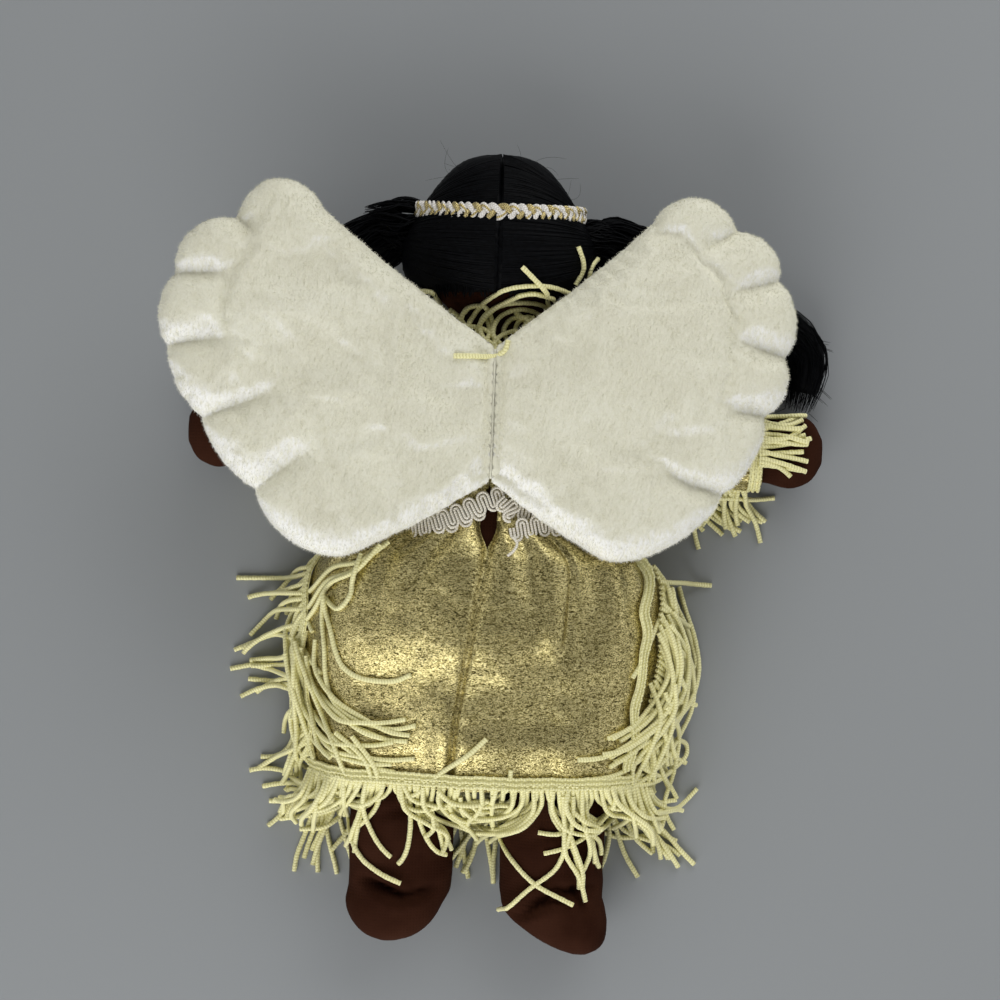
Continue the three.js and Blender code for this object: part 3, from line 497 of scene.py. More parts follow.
# stuffed body: torso, neck, head, arms and legs
bodySet = {"base": 2.0, "mid": 29, "seam": 0.6, "seamWide": 1.3}
torsoStations = level([
    (-42, 47, 2), (-34, 48, 20.2), (-15, 49, 27), (20, 40, 23.5), (52, 43, 26), (78, 36, 21), (89, 14, 12),
    (100, 14, 12),
], bodySet["mid"])
neckStations = level([(84, 15.5, 13.5), (90, 14, 12), (100, 13.6, 12), (112, 15, 13)], bodySet["mid"])


def alongY(s, x, z):
    return x, s, z


def stuffed(name, stations, rows, sides, place, lift):
    grid = []
    for s in rows:
        values = stationAt(stations, s)
        ring = []
        for j in range(sides):
            angle = 2 * math.pi * j / sides
            side, z = sectionPoint(values, angle, lift(s, angle), bodySet["base"])
            ring.append(place(s, side, z))
        grid.append(ring)
    return faceOut(newPiece(name, *loft(grid), cotton))


def seamLift(angle, half, depth):  # sewn line down both sides
    near = min(abs(math.sin(angle / 2)), abs(math.cos(angle / 2))) * 2 * half
    return -depth * bell(near, bodySet["seamWide"])


torso = stuffed("torso", torsoStations, spread(-42, 94, 40), 48, alongY, lambda s, a: seamLift(a, 45, 0.5))
neck = stuffed("neck", neckStations, spread(84, 112, 16), 36, alongY,
               lambda s, a: 0.25 * wobble(s * 0.3, a * 2, 0))

headSet = {"half": 31, "length": 33, "depth": 28.5, "y": 127.5, "z": 29.8, "dart": 0.012, "chin": 0.05}


def headSpot(x, y, lift=0.0):  # point on the face side of the head
    u, v = x / (headSet["half"] + lift), (y - headSet["y"]) / (headSet["length"] + lift)
    return x, y, headSet["z"] - (headSet["depth"] + lift) * math.sqrt(max(1 - u * u - v * v, 0))


def makeHead():
    rings, sides = 40, 56
    grid = []
    for i in range(1, rings):
        polar = math.pi * i / rings
        ring = []
        for j in range(sides):
            angle = 2 * math.pi * j / sides
            x, z, y = math.sin(polar) * math.cos(angle), math.sin(polar) * math.sin(angle), math.cos(polar)
            dart = 1 - headSet["dart"] * bell(x, 0.03) * (z > 0)
            chin = 1 - headSet["chin"] * max(-y - 0.4, 0)
            ring.append((headSet["half"] * x * dart * chin, headSet["y"] + headSet["length"] * y * dart,
                         headSet["z"] + headSet["depth"] * z * dart * chin))
        grid.append(ring)
    return faceOut(newPiece("head", *loft(grid), cotton))


head = makeHead()

armSet = {
    "shoulder": 45.38, "mid": 29.0, "low": 13.5, "drop": 23, "y": 50, "reach": {"left": 125, "right": 136},
    "wrist": 26, "hand": 13, "cuff": 25,
}


def armStations(rows):  # past the shoulder the arm sinks to the floor
    made = []
    for s, half, depth in rows:
        mid = lerp(armSet["mid"], armSet["low"], clamp((s - armSet["shoulder"]) / armSet["drop"]))
        made.append((s, half, depth, depth, mid, armSet["y"]))
    return made


def makeArm(side):
    sign, reach, start = signs[side], armSet["reach"][side], armSet["shoulder"]
    hand = reach - armSet["hand"]
    stations = armStations([
        (start - 1.6, 12.6, 1.4), (start, 12.6, 2), (start + 11.5, 14, 7.5), (start + 25.3, 14, 11.5),
        (reach - armSet["wrist"], 13.3, 10.9), (hand, 15.5, 11.5), (reach - 7.8, 14.4, 10.3),
        (reach - 3.2, 11.2, 8), (reach, 5.4, 4),
    ])
    rows = spread(start - 1.6, hand, 30)
    rows += [reach - armSet["hand"] * t for t in (0.85, 0.7, 0.55, 0.4, 0.28, 0.17, 0.08, 0)]

    def lift(s, angle):
        fold = 0.35 * wobble(s * 0.16, angle * 1.6, sign * 3.0)
        thumb = -1.1 * bell(s - reach + 15, 6) * bell(math.sin(angle) - 0.45, 0.12)
        return seamLift(angle, 14, bodySet["seam"]) + fold + thumb * (math.cos(angle) < 0)
    return stuffed(side + "Arm", stations, rows, 44, lambda s, across, z: (sign * s, across, z), lift)


arms = {side: makeArm(side) for side in signs}

legSet = {  # a toe row is y, half width, depth and turn out, a leg row is y, half width, depth and mid height
    "half": 21, "ball": -146.5,
    "rows": [(-134, 21, 15.5, 17.2), (-113, 21.4, 18, 20.0), (-70.3, 21, 18, 21), (-57.3, 20, 11.2, 24.5),
             (-44.3, 17.9, 2, 29), (-42.7, 17.9, 1.2, 29)],
    "left": {
        "x": -31,
        "toe": [(-156.2, 4.2, 5, -4.0), (-154.2, 9.6, 10.5, -3.7), (-151, 14, 14.5, -3.3),
                (-146.5, 17.6, 16.5, -2.7), (-141, 19.8, 16.4, -2.0)],
        "creases": [((-45, -130.5), (-28, -137), 2.5), ((-30, -137.5), (-17, -133), 1.4),
                    ((-22, -98), (-40, -104), 0.7)],
    },
    "right": {
        "x": 31,
        "toe": [(-159, 4.2, 5, 12.4), (-156.6, 9.8, 10.8, 11.0), (-152.5, 14.9, 14.8, 8.4),
                (-146.5, 18.8, 16.7, 4.8), (-141, 20.8, 16.4, 2.0)],
        "creases": [((14, -143), (34, -133), 2.6), ((34, -132.5), (48, -131), 1.8),
                    ((40, -128), (43, -140), 1.0), ((22, -112), (38, -108), 0.6)],
    },
}


def makeLeg(side):
    shape, half = legSet[side], legSet["half"]
    x0 = shape["x"]
    stations = [(y, wide, depth, depth, 20.0, x0 + turn) for y, wide, depth, turn in shape["toe"]]
    stations += [(y, wide, depth, depth, mid, x0) for y, wide, depth, mid in legSet["rows"]]
    tip, ball, hip = stations[0][0], legSet["ball"], stations[-1][0]
    rows = [lerp(tip, ball, t) for t in (0, 0.06, 0.14, 0.24, 0.36, 0.5, 0.64, 0.8)] + spread(ball, hip, 60)

    def lift(s, angle):
        out = seamLift(angle, half, bodySet["seam"]) + 0.5 * wobble(s * 0.09, angle * 1.3, x0)
        if math.sin(angle) > 0:
            x = x0 + half * signed(math.cos(angle), power)
            for a, b, depth in shape["creases"]:
                gap, t = toSegment(x, s, a, b)
                ridge = 0.9 * bell(gap - 3.8, 2.4) - 2.1 * bell(gap, 1.5)
                out += depth * math.sin(math.pi * clamp(0.12 + t * 0.76)) * ridge
        return out
    return stuffed(side + "Leg", stations, rows, 64, alongY, lift)


legs = {side: makeLeg(side) for side in signs}
print("stuffed body made")


# gold bodice, sleeves and gathered skirt
dressSet = {"cloth": 0.6, "ease": 1.6, "waistY": 20, "neckY": 85, "hemY": -91, "slit": 0.055}


def makeBodice(name, a0, a1, columns, slit=0):
    rows = []
    for y in spread(dressSet["waistY"] - 3, dressSet["neckY"], 34):
        values = stationAt(torsoStations, y)
        ring = []
        opened = dressSet["slit"] * ease(-y, -32, -20)
        for angle in spread(a0 + (opened if slit < 0 else 0), a1 - (opened if slit > 0 else 0), columns):
            crumple = 0.5 * wobble(y * 0.12, angle * 3, 5) + 0.3 * math.sin(angle * 26) * ease(-y, -40, -18)
            x, z = sectionPoint(values, angle, dressSet["ease"] + crumple, 0.7)
            ring.append((x, y, z))
        rows.append(ring)
    return thicken(newPiece(name, *loft(rows, False, False), lame), dressSet["cloth"])


bodiceFront = makeBodice("bodiceFront", -math.pi, 0, 60)
bodiceBackRight = makeBodice("bodiceBackRight", 0, math.pi / 2, 32, 1)
bodiceBackLeft = makeBodice("bodiceBackLeft", math.pi / 2, math.pi, 32, -1)

sleeveSet = {"rows": 60, "sides": 72, "folds": 9, "fold": 0.9, "base": 1.05}


def makeSleeve(side):
    sign, start = signs[side], armSet["shoulder"]
    cuff = armSet["reach"][side] - armSet["cuff"]
    stations = armStations([
        (start - 4, 15, 9.5), (start + 4, 15.5, 10.5), (start + 12, 15.8, 11.5), (start + 25, 16, 13.3),
        (cuff - 8, 15.6, 13), (cuff, 16.2, 13.4),
    ])
    rows = []
    for s in spread(start - 4, cuff, sleeveSet["rows"]):
        values = stationAt(stations, s)
        ring = []
        for j in range(sleeveSet["sides"]):
            angle = 2 * math.pi * j / sleeveSet["sides"]
            t = (s - start) / (cuff - start)
            wave = math.sin(sleeveSet["folds"] * angle + 5 * wobble(s * 0.05, sign, 1))
            fold = sleeveSet["fold"] * wave * (0.25 + 0.75 * t)
            fold += sleeveSet["fold"] * wobble(s * 0.11, math.cos(angle) * 2, math.sin(angle) * 2 + sign)
            across, z = sectionPoint(values, angle, fold * 0.8, sleeveSet["base"])
            ring.append((sign * s, across, z))
        rows.append(ring)
    sleeve = faceOut(newPiece(side + "Sleeve", *loft(rows, True, False), lame))
    return thicken(sleeve, dressSet["cloth"], 1.0)


sleeves = {side: makeSleeve(side) for side in signs}

skirtStations = [
    (-97, 66, 35, 13.2, 12, 0), (-91, 66, 35, 13.2, 12, 0), (-62.5, 70, 40.3, 13.2, 12, 0),
    (-34, 74, 45.5, 13.2, 12, 0), (0, 66, 37, 21.7, 20.5, 0), (14.95, 42, 25, 25, 29, 0),
    (20, 40.8, 24.3, 24.3, 29, 0),
]
skirtSet = {"folds": 8, "depth": 3.6, "pleats": 26, "pleatDepth": 2.1, "lift": 1.0, "base": 0.4, "lean": 0.12}


def skirtFold(angle, y):
    grow = clamp((10.5 - y) / 54)
    fade = max(math.sin(angle), 0) ** 0.5
    out = skirtSet["depth"] * grow * fade * (0.5 + 0.5 * math.cos(skirtSet["folds"] * (angle - math.pi / 2)))
    pleat = bell(y - 10, 24) * clamp((17.5 - y) / 8)
    drift = 1.2 * wobble(angle * 2.2, y * 0.03, 2)
    gather = 0.5 + 0.5 * math.sin(skirtSet["pleats"] * angle + 3 * drift)
    out += skirtSet["pleatDepth"] * pleat * gather * fade
    out += 1.7 * grow * fade * wobble(angle * 3.2, y * 0.045, 7) + 0.5 * wobble(angle * 9, y * 0.12, 3) * grow
    off = (math.pi / 2 - angle) * 68 - 30.5 - y * 0.12  # distance from the tuck right of the seam
    tuck = ease(y, -40, -26) * ease(-y, -14, -4) * fade
    out += tuck * (2.4 * bell(off + 6, 5) - 1.8 * bell(off, 1.5) - 1.2 * bell(off - 10, 7))
    sag = 0.7 + 0.7 * wobble(angle * 2.1, 3, 5)
    out += fade * (2.2 * sag * bell(y + 74, 8) - 2.2 * (1.4 - sag) * bell(y + 47, 12))
    return out


def skirtPoint(angle, y, lift=0.0):
    out = skirtSet["lift"] + lift + skirtFold(angle, y)
    x, z = sectionPoint(stationAt(skirtStations, y), angle, out, skirtSet["base"])
    return x, y, z


def backSeam(y):  # the centre seam leans a little to the left below the waist
    return math.pi / 2 + skirtSet["lean"] * ease(-y, -12, 90)


def makeSkirt(name, first, last, columns, slit=0):
    rows = []
    for y in spread(dressSet["hemY"], dressSet["waistY"] - 1, 96):
        opened = dressSet["slit"] * ease(y, 5, 16) if slit else 0
        start, end = first(y), last(y)
        start, end = (start, end - opened) if slit > 0 else (start + opened, end)
        ring = []
        for share in spread(0, 1, columns):
            tuck = 0.0
            if slit:  # closer columns by the seam
                share = 1 - (1 - share) ** 1.3 if slit > 0 else share ** 1.3
            angle = lerp(start, end, share)
            if slit:
                near = (end - angle if slit > 0 else angle - start) * 55
                pucker = 0.1 * math.sin(y * 1.1) * math.exp(-near / 3)
                tuck = 0.35 * bell(near - 3.2, 2) - 2.0 * bell(near, 0.95) + pucker
            ring.append(skirtPoint(angle, y, tuck))
        rows.append(ring)
    sheet = newPiece(name, *loft(rows, False, False), lame)
    sheet.data.flip_normals()
    return sheet


skirtFront = makeSkirt("skirtFront", lambda y: -math.pi, lambda y: 0.0, 120)
skirtBackRight = makeSkirt("skirtBackRight", lambda y: 0.0, backSeam, 84, 1)
skirtBackLeft = makeSkirt("skirtBackLeft", backSeam, lambda y: math.pi, 84, -1)
print("dress cut")


# wings: two sewn velvet pillows on one root seam
wingSet = {
    "rootHalf": 27, "rootY": 59, "rootZ": 62.04, "rootGap": -0.2, "rootSteps": 20,
    "top": 11.2, "under": 4.8, "edge": 12.5, "grid": 2.3, "crown": 34, "rootRise": 40, "lump": 0.9,
    "sewn": 0.62, "sewnWide": 3.4, "quilted": 0.2, "quiltWide": 3.5,
    "left": {
        "lift": 6,
        "notches": [(69, 77.5), (103, 72), (126, 49), (128, 21.5), (113.5, -6), (92, -33), (53, -57)],
        "bulges": [14, 8.5, 5, 3.8, 4, 9.5],
        "stitches": [[(103, 72), (95, 66)], [(126, 49), (105, 50)], [(128, 21.5), (103, 25)],
                     [(113.5, -6), (95, 1), (82, 7)], [(92, -33), (76, -21), (68, -17)]],
        "quilt": [(95, 66), (105, 50), (107, 36), (103, 25)],
    },
    "right": {
        "lift": -10,
        "notches": [(61, 78), (97, 77), (115, 58), (118.5, 27), (111, 3.5), (94.5, -28), (46, -56)],
        "bulges": [12.5, 6.5, 6, 5, 5, 9],
        "stitches": [[(97, 77), (80, 68)], [(115, 58), (92, 51.5)], [(118.5, 27), (95, 33)],
                     [(111, 3.5), (92, 5)], [(94.5, -28), (80, -25), (66, -19)]],
        "quilt": [(80, 67), (90, 56), (94, 42), (94, 24), (91, 8)],
    },
}


def wingOutline(shape):
    half = wingSet["rootHalf"]

    def rootEdge(end, corner, shares):  # edge out from the root, bowed a little to the feet
        return [(end[0] * t, lerp(corner, end[1], t) - 1.5 * math.sin(math.pi * t)) for t in shares]
    outline = [(0, v) for v in spread(-half, half, wingSet["rootSteps"])]
    outline += rootEdge(shape["notches"][0], half, spread(0.04, 0.97, 26))
    for i, bulge in enumerate(shape["bulges"]):
        (u0, v0), (u1, v1) = shape["notches"][i], shape["notches"][i + 1]
        length = math.hypot(u1 - u0, v1 - v0)
        for k in range(14):
            t = k / 14
            out = bulge * math.sin(math.pi * t) ** 0.62
            u, v = lerp(u0, u1, t), lerp(v0, v1, t)
            outline.append((u - out * (v1 - v0) / length, v + out * (u1 - u0) / length))
    return outline + rootEdge(shape["notches"][-1], -half, spread(1, 0.04, 22))


def polylineGap(points, line):  # distance of many points to a line, and the share along it
    best = np.full(len(points), 1e9)
    share = np.zeros(len(points))
    line = np.array(line, float)
    steps = np.linalg.norm(np.diff(line, axis=0), axis=1)
    run = np.concatenate([[0], np.cumsum(steps)])
    for i in range(len(line) - 1):
        d = line[i + 1] - line[i]
        t = np.clip(((points - line[i]) @ d) / (d @ d), 0, 1)
        gap = np.linalg.norm(points - line[i] - t[:, None] * d, axis=1)
        nearer = gap < best
        best = np.where(nearer, gap, best)
        share = np.where(nearer, (run[i] + t * steps[i]) / run[-1], share)
    return best, share


def inside(points, outline):
    found = np.zeros(len(points), bool)
    line = np.array(outline, float)
    for a, b in zip(line, np.roll(line, -1, axis=0)):
        crosses = (a[1] > points[:, 1]) != (b[1] > points[:, 1])
        with np.errstate(divide="ignore", invalid="ignore"):
            at = (b[0] - a[0]) * (points[:, 1] - a[1]) / (b[1] - a[1]) + a[0]
        found ^= crosses & (points[:, 0] < at)
    return found


def stitchLine(stitch):
    return [p[:2] for p in smoothPath([(*p, 0) for p in stitch], 9)]


def wingPlan(outline, stitches):  # flat mesh of a wing, with its stitch lines as edges
    ring, step = outline + outline[:1], wingSet["grid"]
    reach = max(p[0] for p in outline)
    us, vs = np.meshgrid(np.arange(0, reach, step), np.arange(-70, 95, step * 0.866))
    us = us + (np.arange(us.shape[0]) % 2)[:, None] * step / 2
    free = np.column_stack([us.ravel(), vs.ravel()])
    free = free[inside(free, outline)]
    keep = polylineGap(free, ring)[0] > step * 0.7
    spots = [Vector(p) for p in outline]
    edges = [(i, (i + 1) % len(outline)) for i in range(len(outline))]
    for stitch in stitches:
        line = stitchLine(stitch)[1:]
        keep &= polylineGap(free, line)[0] > step * 0.55
        start = len(spots)
        spots += [Vector(p) for p in line]
        edges += [(i, i + 1) for i in range(start, len(spots) - 1)]
    spots += [Vector(p) for p in free[keep]]
    flat, _, faces, *_ = delaunay_2d_cdt(spots, edges, [], 1, 1e-5)
    return np.array([tuple(p) for p in flat]), faces


def wingHeights(shape, plan, ring, rim, sign):  # how far the pillow stands out on top and below
    free, _ = polylineGap(plan, ring[wingSet["rootSteps"] - 1:])
    rounded = np.sqrt(1 - (1 - np.clip(free / wingSet["edge"], 0, 1)) ** 2)
    crown = 0.84 + 0.16 * np.clip(rim / wingSet["crown"], 0, 1)
    root = 0.25 + 0.75 * np.clip(plan[:, 0] / wingSet["rootRise"], 0, 1)
    sewn = np.ones(len(plan))
    for stitch in shape["stitches"]:
        gap, share = polylineGap(plan, stitchLine(stitch))
        sewn *= 1 - wingSet["sewn"] * (1 - share ** 3) * np.exp(-gap / wingSet["sewnWide"])
    gap, share = polylineGap(plan, shape["quilt"])
    along = np.sin(np.pi * np.clip(share, 0.05, 0.95))
    sewn *= 1 - wingSet["quilted"] * along * np.exp(-(gap / wingSet["quiltWide"]) ** 2)
    lump = np.array([wobble(p[0] * 0.035, p[1] * 0.035, sign) for p in plan])
    tops = (wingSet["top"] * crown + wingSet["lump"] * lump) * rounded * root * sewn
    unders = wingSet["under"] * crown * rounded * root * (0.4 + 0.6 * sewn)
    nearRoot = np.exp(-(plan[:, 0] / 5) ** 2)
    tops = tops * (1 - 0.25 * nearRoot)
    return tops, unders * (1 - nearRoot) - tops * nearRoot


def makeWing(side):
    shape, sign = wingSet[side], signs[side]
    outline = wingOutline(shape)
    ring = outline + outline[:1]
    plan, faces = wingPlan(outline, shape["stitches"])
    rim, _ = polylineGap(plan, ring)
    onRim = rim < 1e-3
    tops, unders = wingHeights(shape, plan, ring, rim, sign)
    lift = math.radians(shape["lift"])

    def seat(u, v, h):
        x = u * math.cos(lift) - h * math.sin(lift) + wingSet["rootGap"]
        return sign * x, v + wingSet["rootY"], u * math.sin(lift) + h * math.cos(lift) + wingSet["rootZ"]
    points = [seat(u, v, h) for (u, v), h in zip(plan, tops)]
    lower = {}
    for i, (u, v) in enumerate(plan):
        lower[i] = i
        if not onRim[i]:
            lower[i] = len(points)
            points.append(seat(u, v, -unders[i]))
    shell = [tuple(f) for f in faces] + [tuple(lower[i] for i in f)[::-1] for f in faces]
    wing = newPiece(side + "Wing", points, shell, velvet)
    held = {i for i in range(len(plan)) if onRim[i]}
    for stitch in shape["stitches"]:
        gap, _ = polylineGap(plan, stitchLine(stitch))
        for i in np.nonzero(gap < 0.2)[0]:
            held |= {int(i), lower[int(i)]}
    fillCloth(wing, sorted(held))
    faceOut(wing)
    fine = wing.modifiers.new("fine", "SUBSURF")
    fine.levels = 1
    bake(wing)

    def flatten(co):
        x, z = abs(co.x / mm) - wingSet["rootGap"], co.z / mm - wingSet["rootZ"]
        return x * math.cos(lift) + z * math.sin(lift), co.y / mm - wingSet["rootY"]
    atRoot = [flatten(v.co)[0] < 0.7 for v in wing.data.vertices]
    for e in wing.data.edges:
        e.use_edge_sharp = atRoot[e.vertices[0]] and atRoot[e.vertices[1]]
    return paintedSheen(wing, flatten, ring)


simSet = {
    "frames": 20, "cap": 3.5,
    "cloth": {
        "quality": 8, "mass": 0.15, "tension_stiffness": 18, "compression_stiffness": 18,
        "shear_stiffness": 6, "bending_stiffness": 0.4, "shrink_min": -0.035, "vertex_group_mass": "held",
        "use_pressure": True, "uniform_pressure_force": 5.0,
    },
}


def fillCloth(piece, held):  # stuffing pressure against the sewn lines
    group = piece.vertex_groups.new(name="held")
    group.add(held, 1.0, "REPLACE")
    before = [v.co.copy() for v in piece.data.vertices]
    live = piece.modifiers.new("fill", "CLOTH")
    for key, value in simSet["cloth"].items():
        setattr(live.settings, key, value)
    live.settings.effector_weights.gravity = 0
    live.collision_settings.use_collision = False
    live.point_cache.frame_start = 1
    live.point_cache.frame_end = simSet["frames"]
    for step in range(1, simSet["frames"] + 1):
        scene.frame_set(step)
    graph = bpy.context.evaluated_depsgraph_get()
    after = [v.co.copy() for v in piece.evaluated_get(graph).data.vertices]
    piece.modifiers.clear()
    piece.vertex_groups.clear()
    scene.frame_set(1)
    far = 0.0
    for v, a, b in zip(piece.data.vertices, before, after):
        move = b - a
        far = max(far, move.length / mm)
        v.co = a + move * min(1.0, simSet["cap"] * mm / max(move.length, 1e-9))
    print(piece.name, "filled, largest move", round(far, 2), "mm")


def paintedSheen(wing, flatten, ring):  # painted sheen highlight: pile is painted white on sides that face the feet
    mesh = wing.data
    rim, _ = polylineGap(np.array([flatten(v.co) for v in mesh.vertices]), ring)
    values = []
    for v, gap in zip(mesh.vertices, rim):
        low = -v.normal.y + 0.10 * wobble(v.co.x * 70, v.co.y * 70, v.co.z * 70)
        soft = ease(low, 0.2, 0.54) * 0.85 + math.exp(-gap / 9) * ease(low, 0.0, 0.3)
        values.append(clamp(soft) * ease(v.normal.z, -0.5, 0.0))
    mark = mesh.attributes.new("sheenMask", "FLOAT", "POINT")
    mark.data.foreach_set("value", values)
    return wing


def makePileTree():  # short fibres scattered over the velvet, leaning towards the feet
    group, tree, start = newGroup("pileTree", {"Density": 1.0, "Length": 0.001, "Width": 0.0001}, {"Seed": 3})
    scatter = tree.node("GeometryNodeDistributePointsOnFaces", Mesh=start["Geometry"])
    tree.fill(scatter, {"Density": start["Density"], "Seed": start["Seed"]})
    fibre = tree.node("GeometryNodeMeshCone", Vertices=3, Depth=start["Length"])
    fibre.fill_type = "NONE"
    tree.fill(fibre, {"Radius Top": 0, "Radius Bottom": start["Width"]})
    stray = tree.node("FunctionNodeRandomValue", Seed=start["Seed"])
    stray.data_type = "FLOAT_VECTOR"
    stray.inputs[0].default_value = (-0.7, -1.1, -0.5)
    stray.inputs[1].default_value = (0.7, 0.4, 0.5)
    lean = tree.node("ShaderNodeVectorMath")
    tree.feed(lean.inputs[0], scatter.outputs["Normal"])
    tree.feed(lean.inputs[1], stray.outputs[0])
    aim = tree.node("FunctionNodeAlignRotationToVector", Vector=lean.outputs[0])
    place = tree.node("GeometryNodeInstanceOnPoints", Points=scatter.outputs["Points"])
    tree.fill(place, {"Instance": fibre.outputs["Mesh"], "Rotation": aim.outputs["Rotation"]})
    endGroup(tree, start, place.outputs["Instances"])
    return group


pileTree = makePileTree()
pileSet = {  # density is for each square millimetre
    "density": 0.95, "length": 1.05, "width": 0.12, "seed": {"left": 3, "right": 4},
}


def makePile(side, wing):
    made = wing.copy()
    made.data = wing.data.copy()
    made.name = side + "WingPile"
    scene.collection.objects.link(made)
    runGroup(made, pileTree, {
        "Density": pileSet["density"] * 1e6, "Length": pileSet["length"] * mm, "Width": pileSet["width"] * mm,
        "Seed": pileSet["seed"][side], "Material": velvet,
    })
    bake(made)
    made.data.name = made.name
    return made


wings = {side: makeWing(side) for side in signs}
piles = {side: makePile(side, wings[side]) for side in signs}
print("wings sewn")


# hair: two combed halves with a centre part, tied at the sides
hairSet = {
    "nape": 107, "crown": 166.0, "front": 15.0, "tieY": 131, "tieZ": 30, "strands": 210, "strand": 0.42,
    "napeEnds": 70, "fluff": 150, "flyaways": 15,
}


def hairStation(share, full):
    size = math.sqrt(max(1 - share * share, 0))
    along = headSet["y"] + (38.4 if share > 0 else 37) * share
    return along, 35 * size + full, 32.5 * size + full / 3, 29.7 * size, headSet["z"], 0


hairRows = ((-0.75, 5), (-0.35, 5), (0, 4), (0.28, 0.5), (0.5, -1), (0.75, -1), (0.9, 0))
hairStations = [hairStation(*row) for row in hairRows] + [(hairSet["crown"], 4, 4, 4, headSet["z"], 0)]


def combLine(angle, y):  # where a hair at this place left the part
    pull = clamp(abs(math.pi / 2 - angle) / (math.pi / 2), 0, 0.98)
    return hairSet["tieY"] + (y - hairSet["tieY"]) / (1 - 0.8 * pull ** 1.6)


def hairSpot(angle, y, lift):
    values = stationAt(hairStations, clamp(y, hairSet["nape"], hairSet["crown"]))
    x, z = sectionPoint(values, angle, lift)
    return x, y, z


def makeCap(name, sign):
    rows = []
    for y in spread(hairSet["nape"], hairSet["crown"] - 0.2, 70):
        values = stationAt(hairStations, y)
        low = math.asin(clamp((hairSet["front"] - headSet["z"]) / max(values[2], 15), -0.96, 0))
        ring = []
        for t in spread(0, 1, 64):
            angle = lerp(low * 1.05, math.pi / 2, t)
            line = combLine(max(angle, 0.02), y)
            groove = 0.45 * wobble(line * 0.75, angle * 0.5, sign * 4)
            groove += 0.3 * wobble(line * 2.2, angle * 0.8, sign)
            away = (math.pi / 2 - angle) * 30
            part = (-0.8 * bell(away, 0.9) - 0.9 * bell(away, 3.5)) * ease(y, 138, 150)
            x, z = sectionPoint(values, angle, groove + part)
            notch = 1.9 * ease(y, 154, 165) * bell(x, 4.5)
            ring.append((sign * (x - 0.08), y - notch, z))
        rows.append(ring)
    top = rows[-1]
    for rise, size in ((0.15, 0.75), (0.3, 0.4), (0.35, 0.05)):
        rows.append([(x * size, y + rise, lerp(headSet["z"], z, size)) for x, y, z in top])
    cap = newPiece(name + "Cap", *loft(rows, False, False), hairStuff)
    if sign > 0:
        cap.data.flip_normals()
    return thicken(cap, 2.6, -1.0)


def combedHairs(rng, sign):
    paths = []
    for i in range(hairSet["strands"]):
        y0 = lerp(hairSet["nape"] + 1, hairSet["crown"] - 2, (i + rng.random()) / hairSet["strands"])
        stop = rng.uniform(0.75, 0.99)
        lift = rng.uniform(0.1, 0.75)
        path = []
        for t in spread(0.015, stop, 16):
            y = hairSet["tieY"] + (y0 - hairSet["tieY"]) * (1 - 0.8 * t ** 1.6)
            y += 0.5 * wobble(t * 3, i * 0.7, sign)
            rise = lift * math.sin(math.pi * clamp(t * 1.2, 0.12, 0.9))
            x, y, z = hairSpot(math.pi / 2 * (1 - t), y, rise)
            path.append((sign * x, y, z))
        paths.append(path)
    return paths


def napeHairs(rng, sign):  # short ends along the nape
    paths = []
    for _ in range(hairSet["napeEnds"]):
        angle = rng.uniform(0.1, math.pi / 2)
        x, y, z = hairSpot(angle, hairSet["nape"] + 2.5, rng.uniform(-1.2, 0.2))
        length = rng.uniform(2.5, 5)
        lean = rng.uniform(-1, 1)
        path = []
        for t in spread(0, 1, 5):
            across = x - 0.12 * x / 35 * length * t + lean * t * t
            path.append((sign * across, y - length * t, z - 1.5 * t * t))
        paths.append(path)
    return paths


def tieFluff(rng, sign):  # covers the back of the tie
    paths = []
    y0 = hairSet["tieY"] + (3 if sign < 0 else 0)
    for i in range(hairSet["fluff"]):
        turn = rng.uniform(-0.35, math.pi + 0.35)
        wide = rng.uniform(7.0, 13.0 if sign < 0 else 9.5)
        far = rng.uniform(44, 56 if sign < 0 else 49)
        path = []
        for t in spread(0, 1, 9):
            swell = 0.72 + 0.28 * math.sin(math.pi * clamp(t * 0.8 + 0.15))
            bend = turn + 0.5 * wobble(t * 2, i * 0.8, sign)
            path.append((sign * lerp(31, far, t), y0 + wide * swell * math.cos(bend),
                         hairSet["tieZ"] + wide * swell * math.sin(bend)))
        paths.append(path)
    return paths


def flyaways(rng, sign):
    paths = []
    for _ in range(hairSet["flyaways"]):
        angle, y = rng.uniform(0.15, 1.5), rng.uniform(112, 163)
        x, y, z = hairSpot(angle, y, 0.2)
        aim = Vector((math.cos(angle), rng.uniform(-0.5, 0.9), math.sin(angle) * 0.35)).normalized()
        bend = Vector((rng.uniform(-1, 1), rng.uniform(-1, 1), rng.uniform(-0.6, 0.4)))
        length = rng.uniform(6, 13)
        path = []
        for t in spread(0, 1, 8):
            p = Vector((x, y, z)) + aim * length * t + bend * 8 * t * t
            path.append((sign * p.x, min(p.y, 168), max(p.z, 2)))
        paths.append(path)
    return paths


def hairCords(name, paths, radius, spacing, sides, taper):  # plain threads without stitches
    return cords(name, paths, hairStuff, radius, spacing, 50, 0, sides, taper)


def makeHair(side):
    name, sign = "hair" + titled(side), signs[side]
    cap = makeCap(name, sign)
    rng = random.Random(11 + sign)
    paths = combedHairs(rng, sign) + napeHairs(rng, sign) + tieFluff(rng, sign)
    locks = hairCords(name + "Locks", paths, hairSet["strand"], 1.6, 5, 0.75)
    stray = hairCords(name + "Stray", flyaways(rng, sign), 0.06, 1.5, 3, 0.5)
    return joined(name, [cap, locks, stray])


hair = {side: makeHair(side) for side in signs}

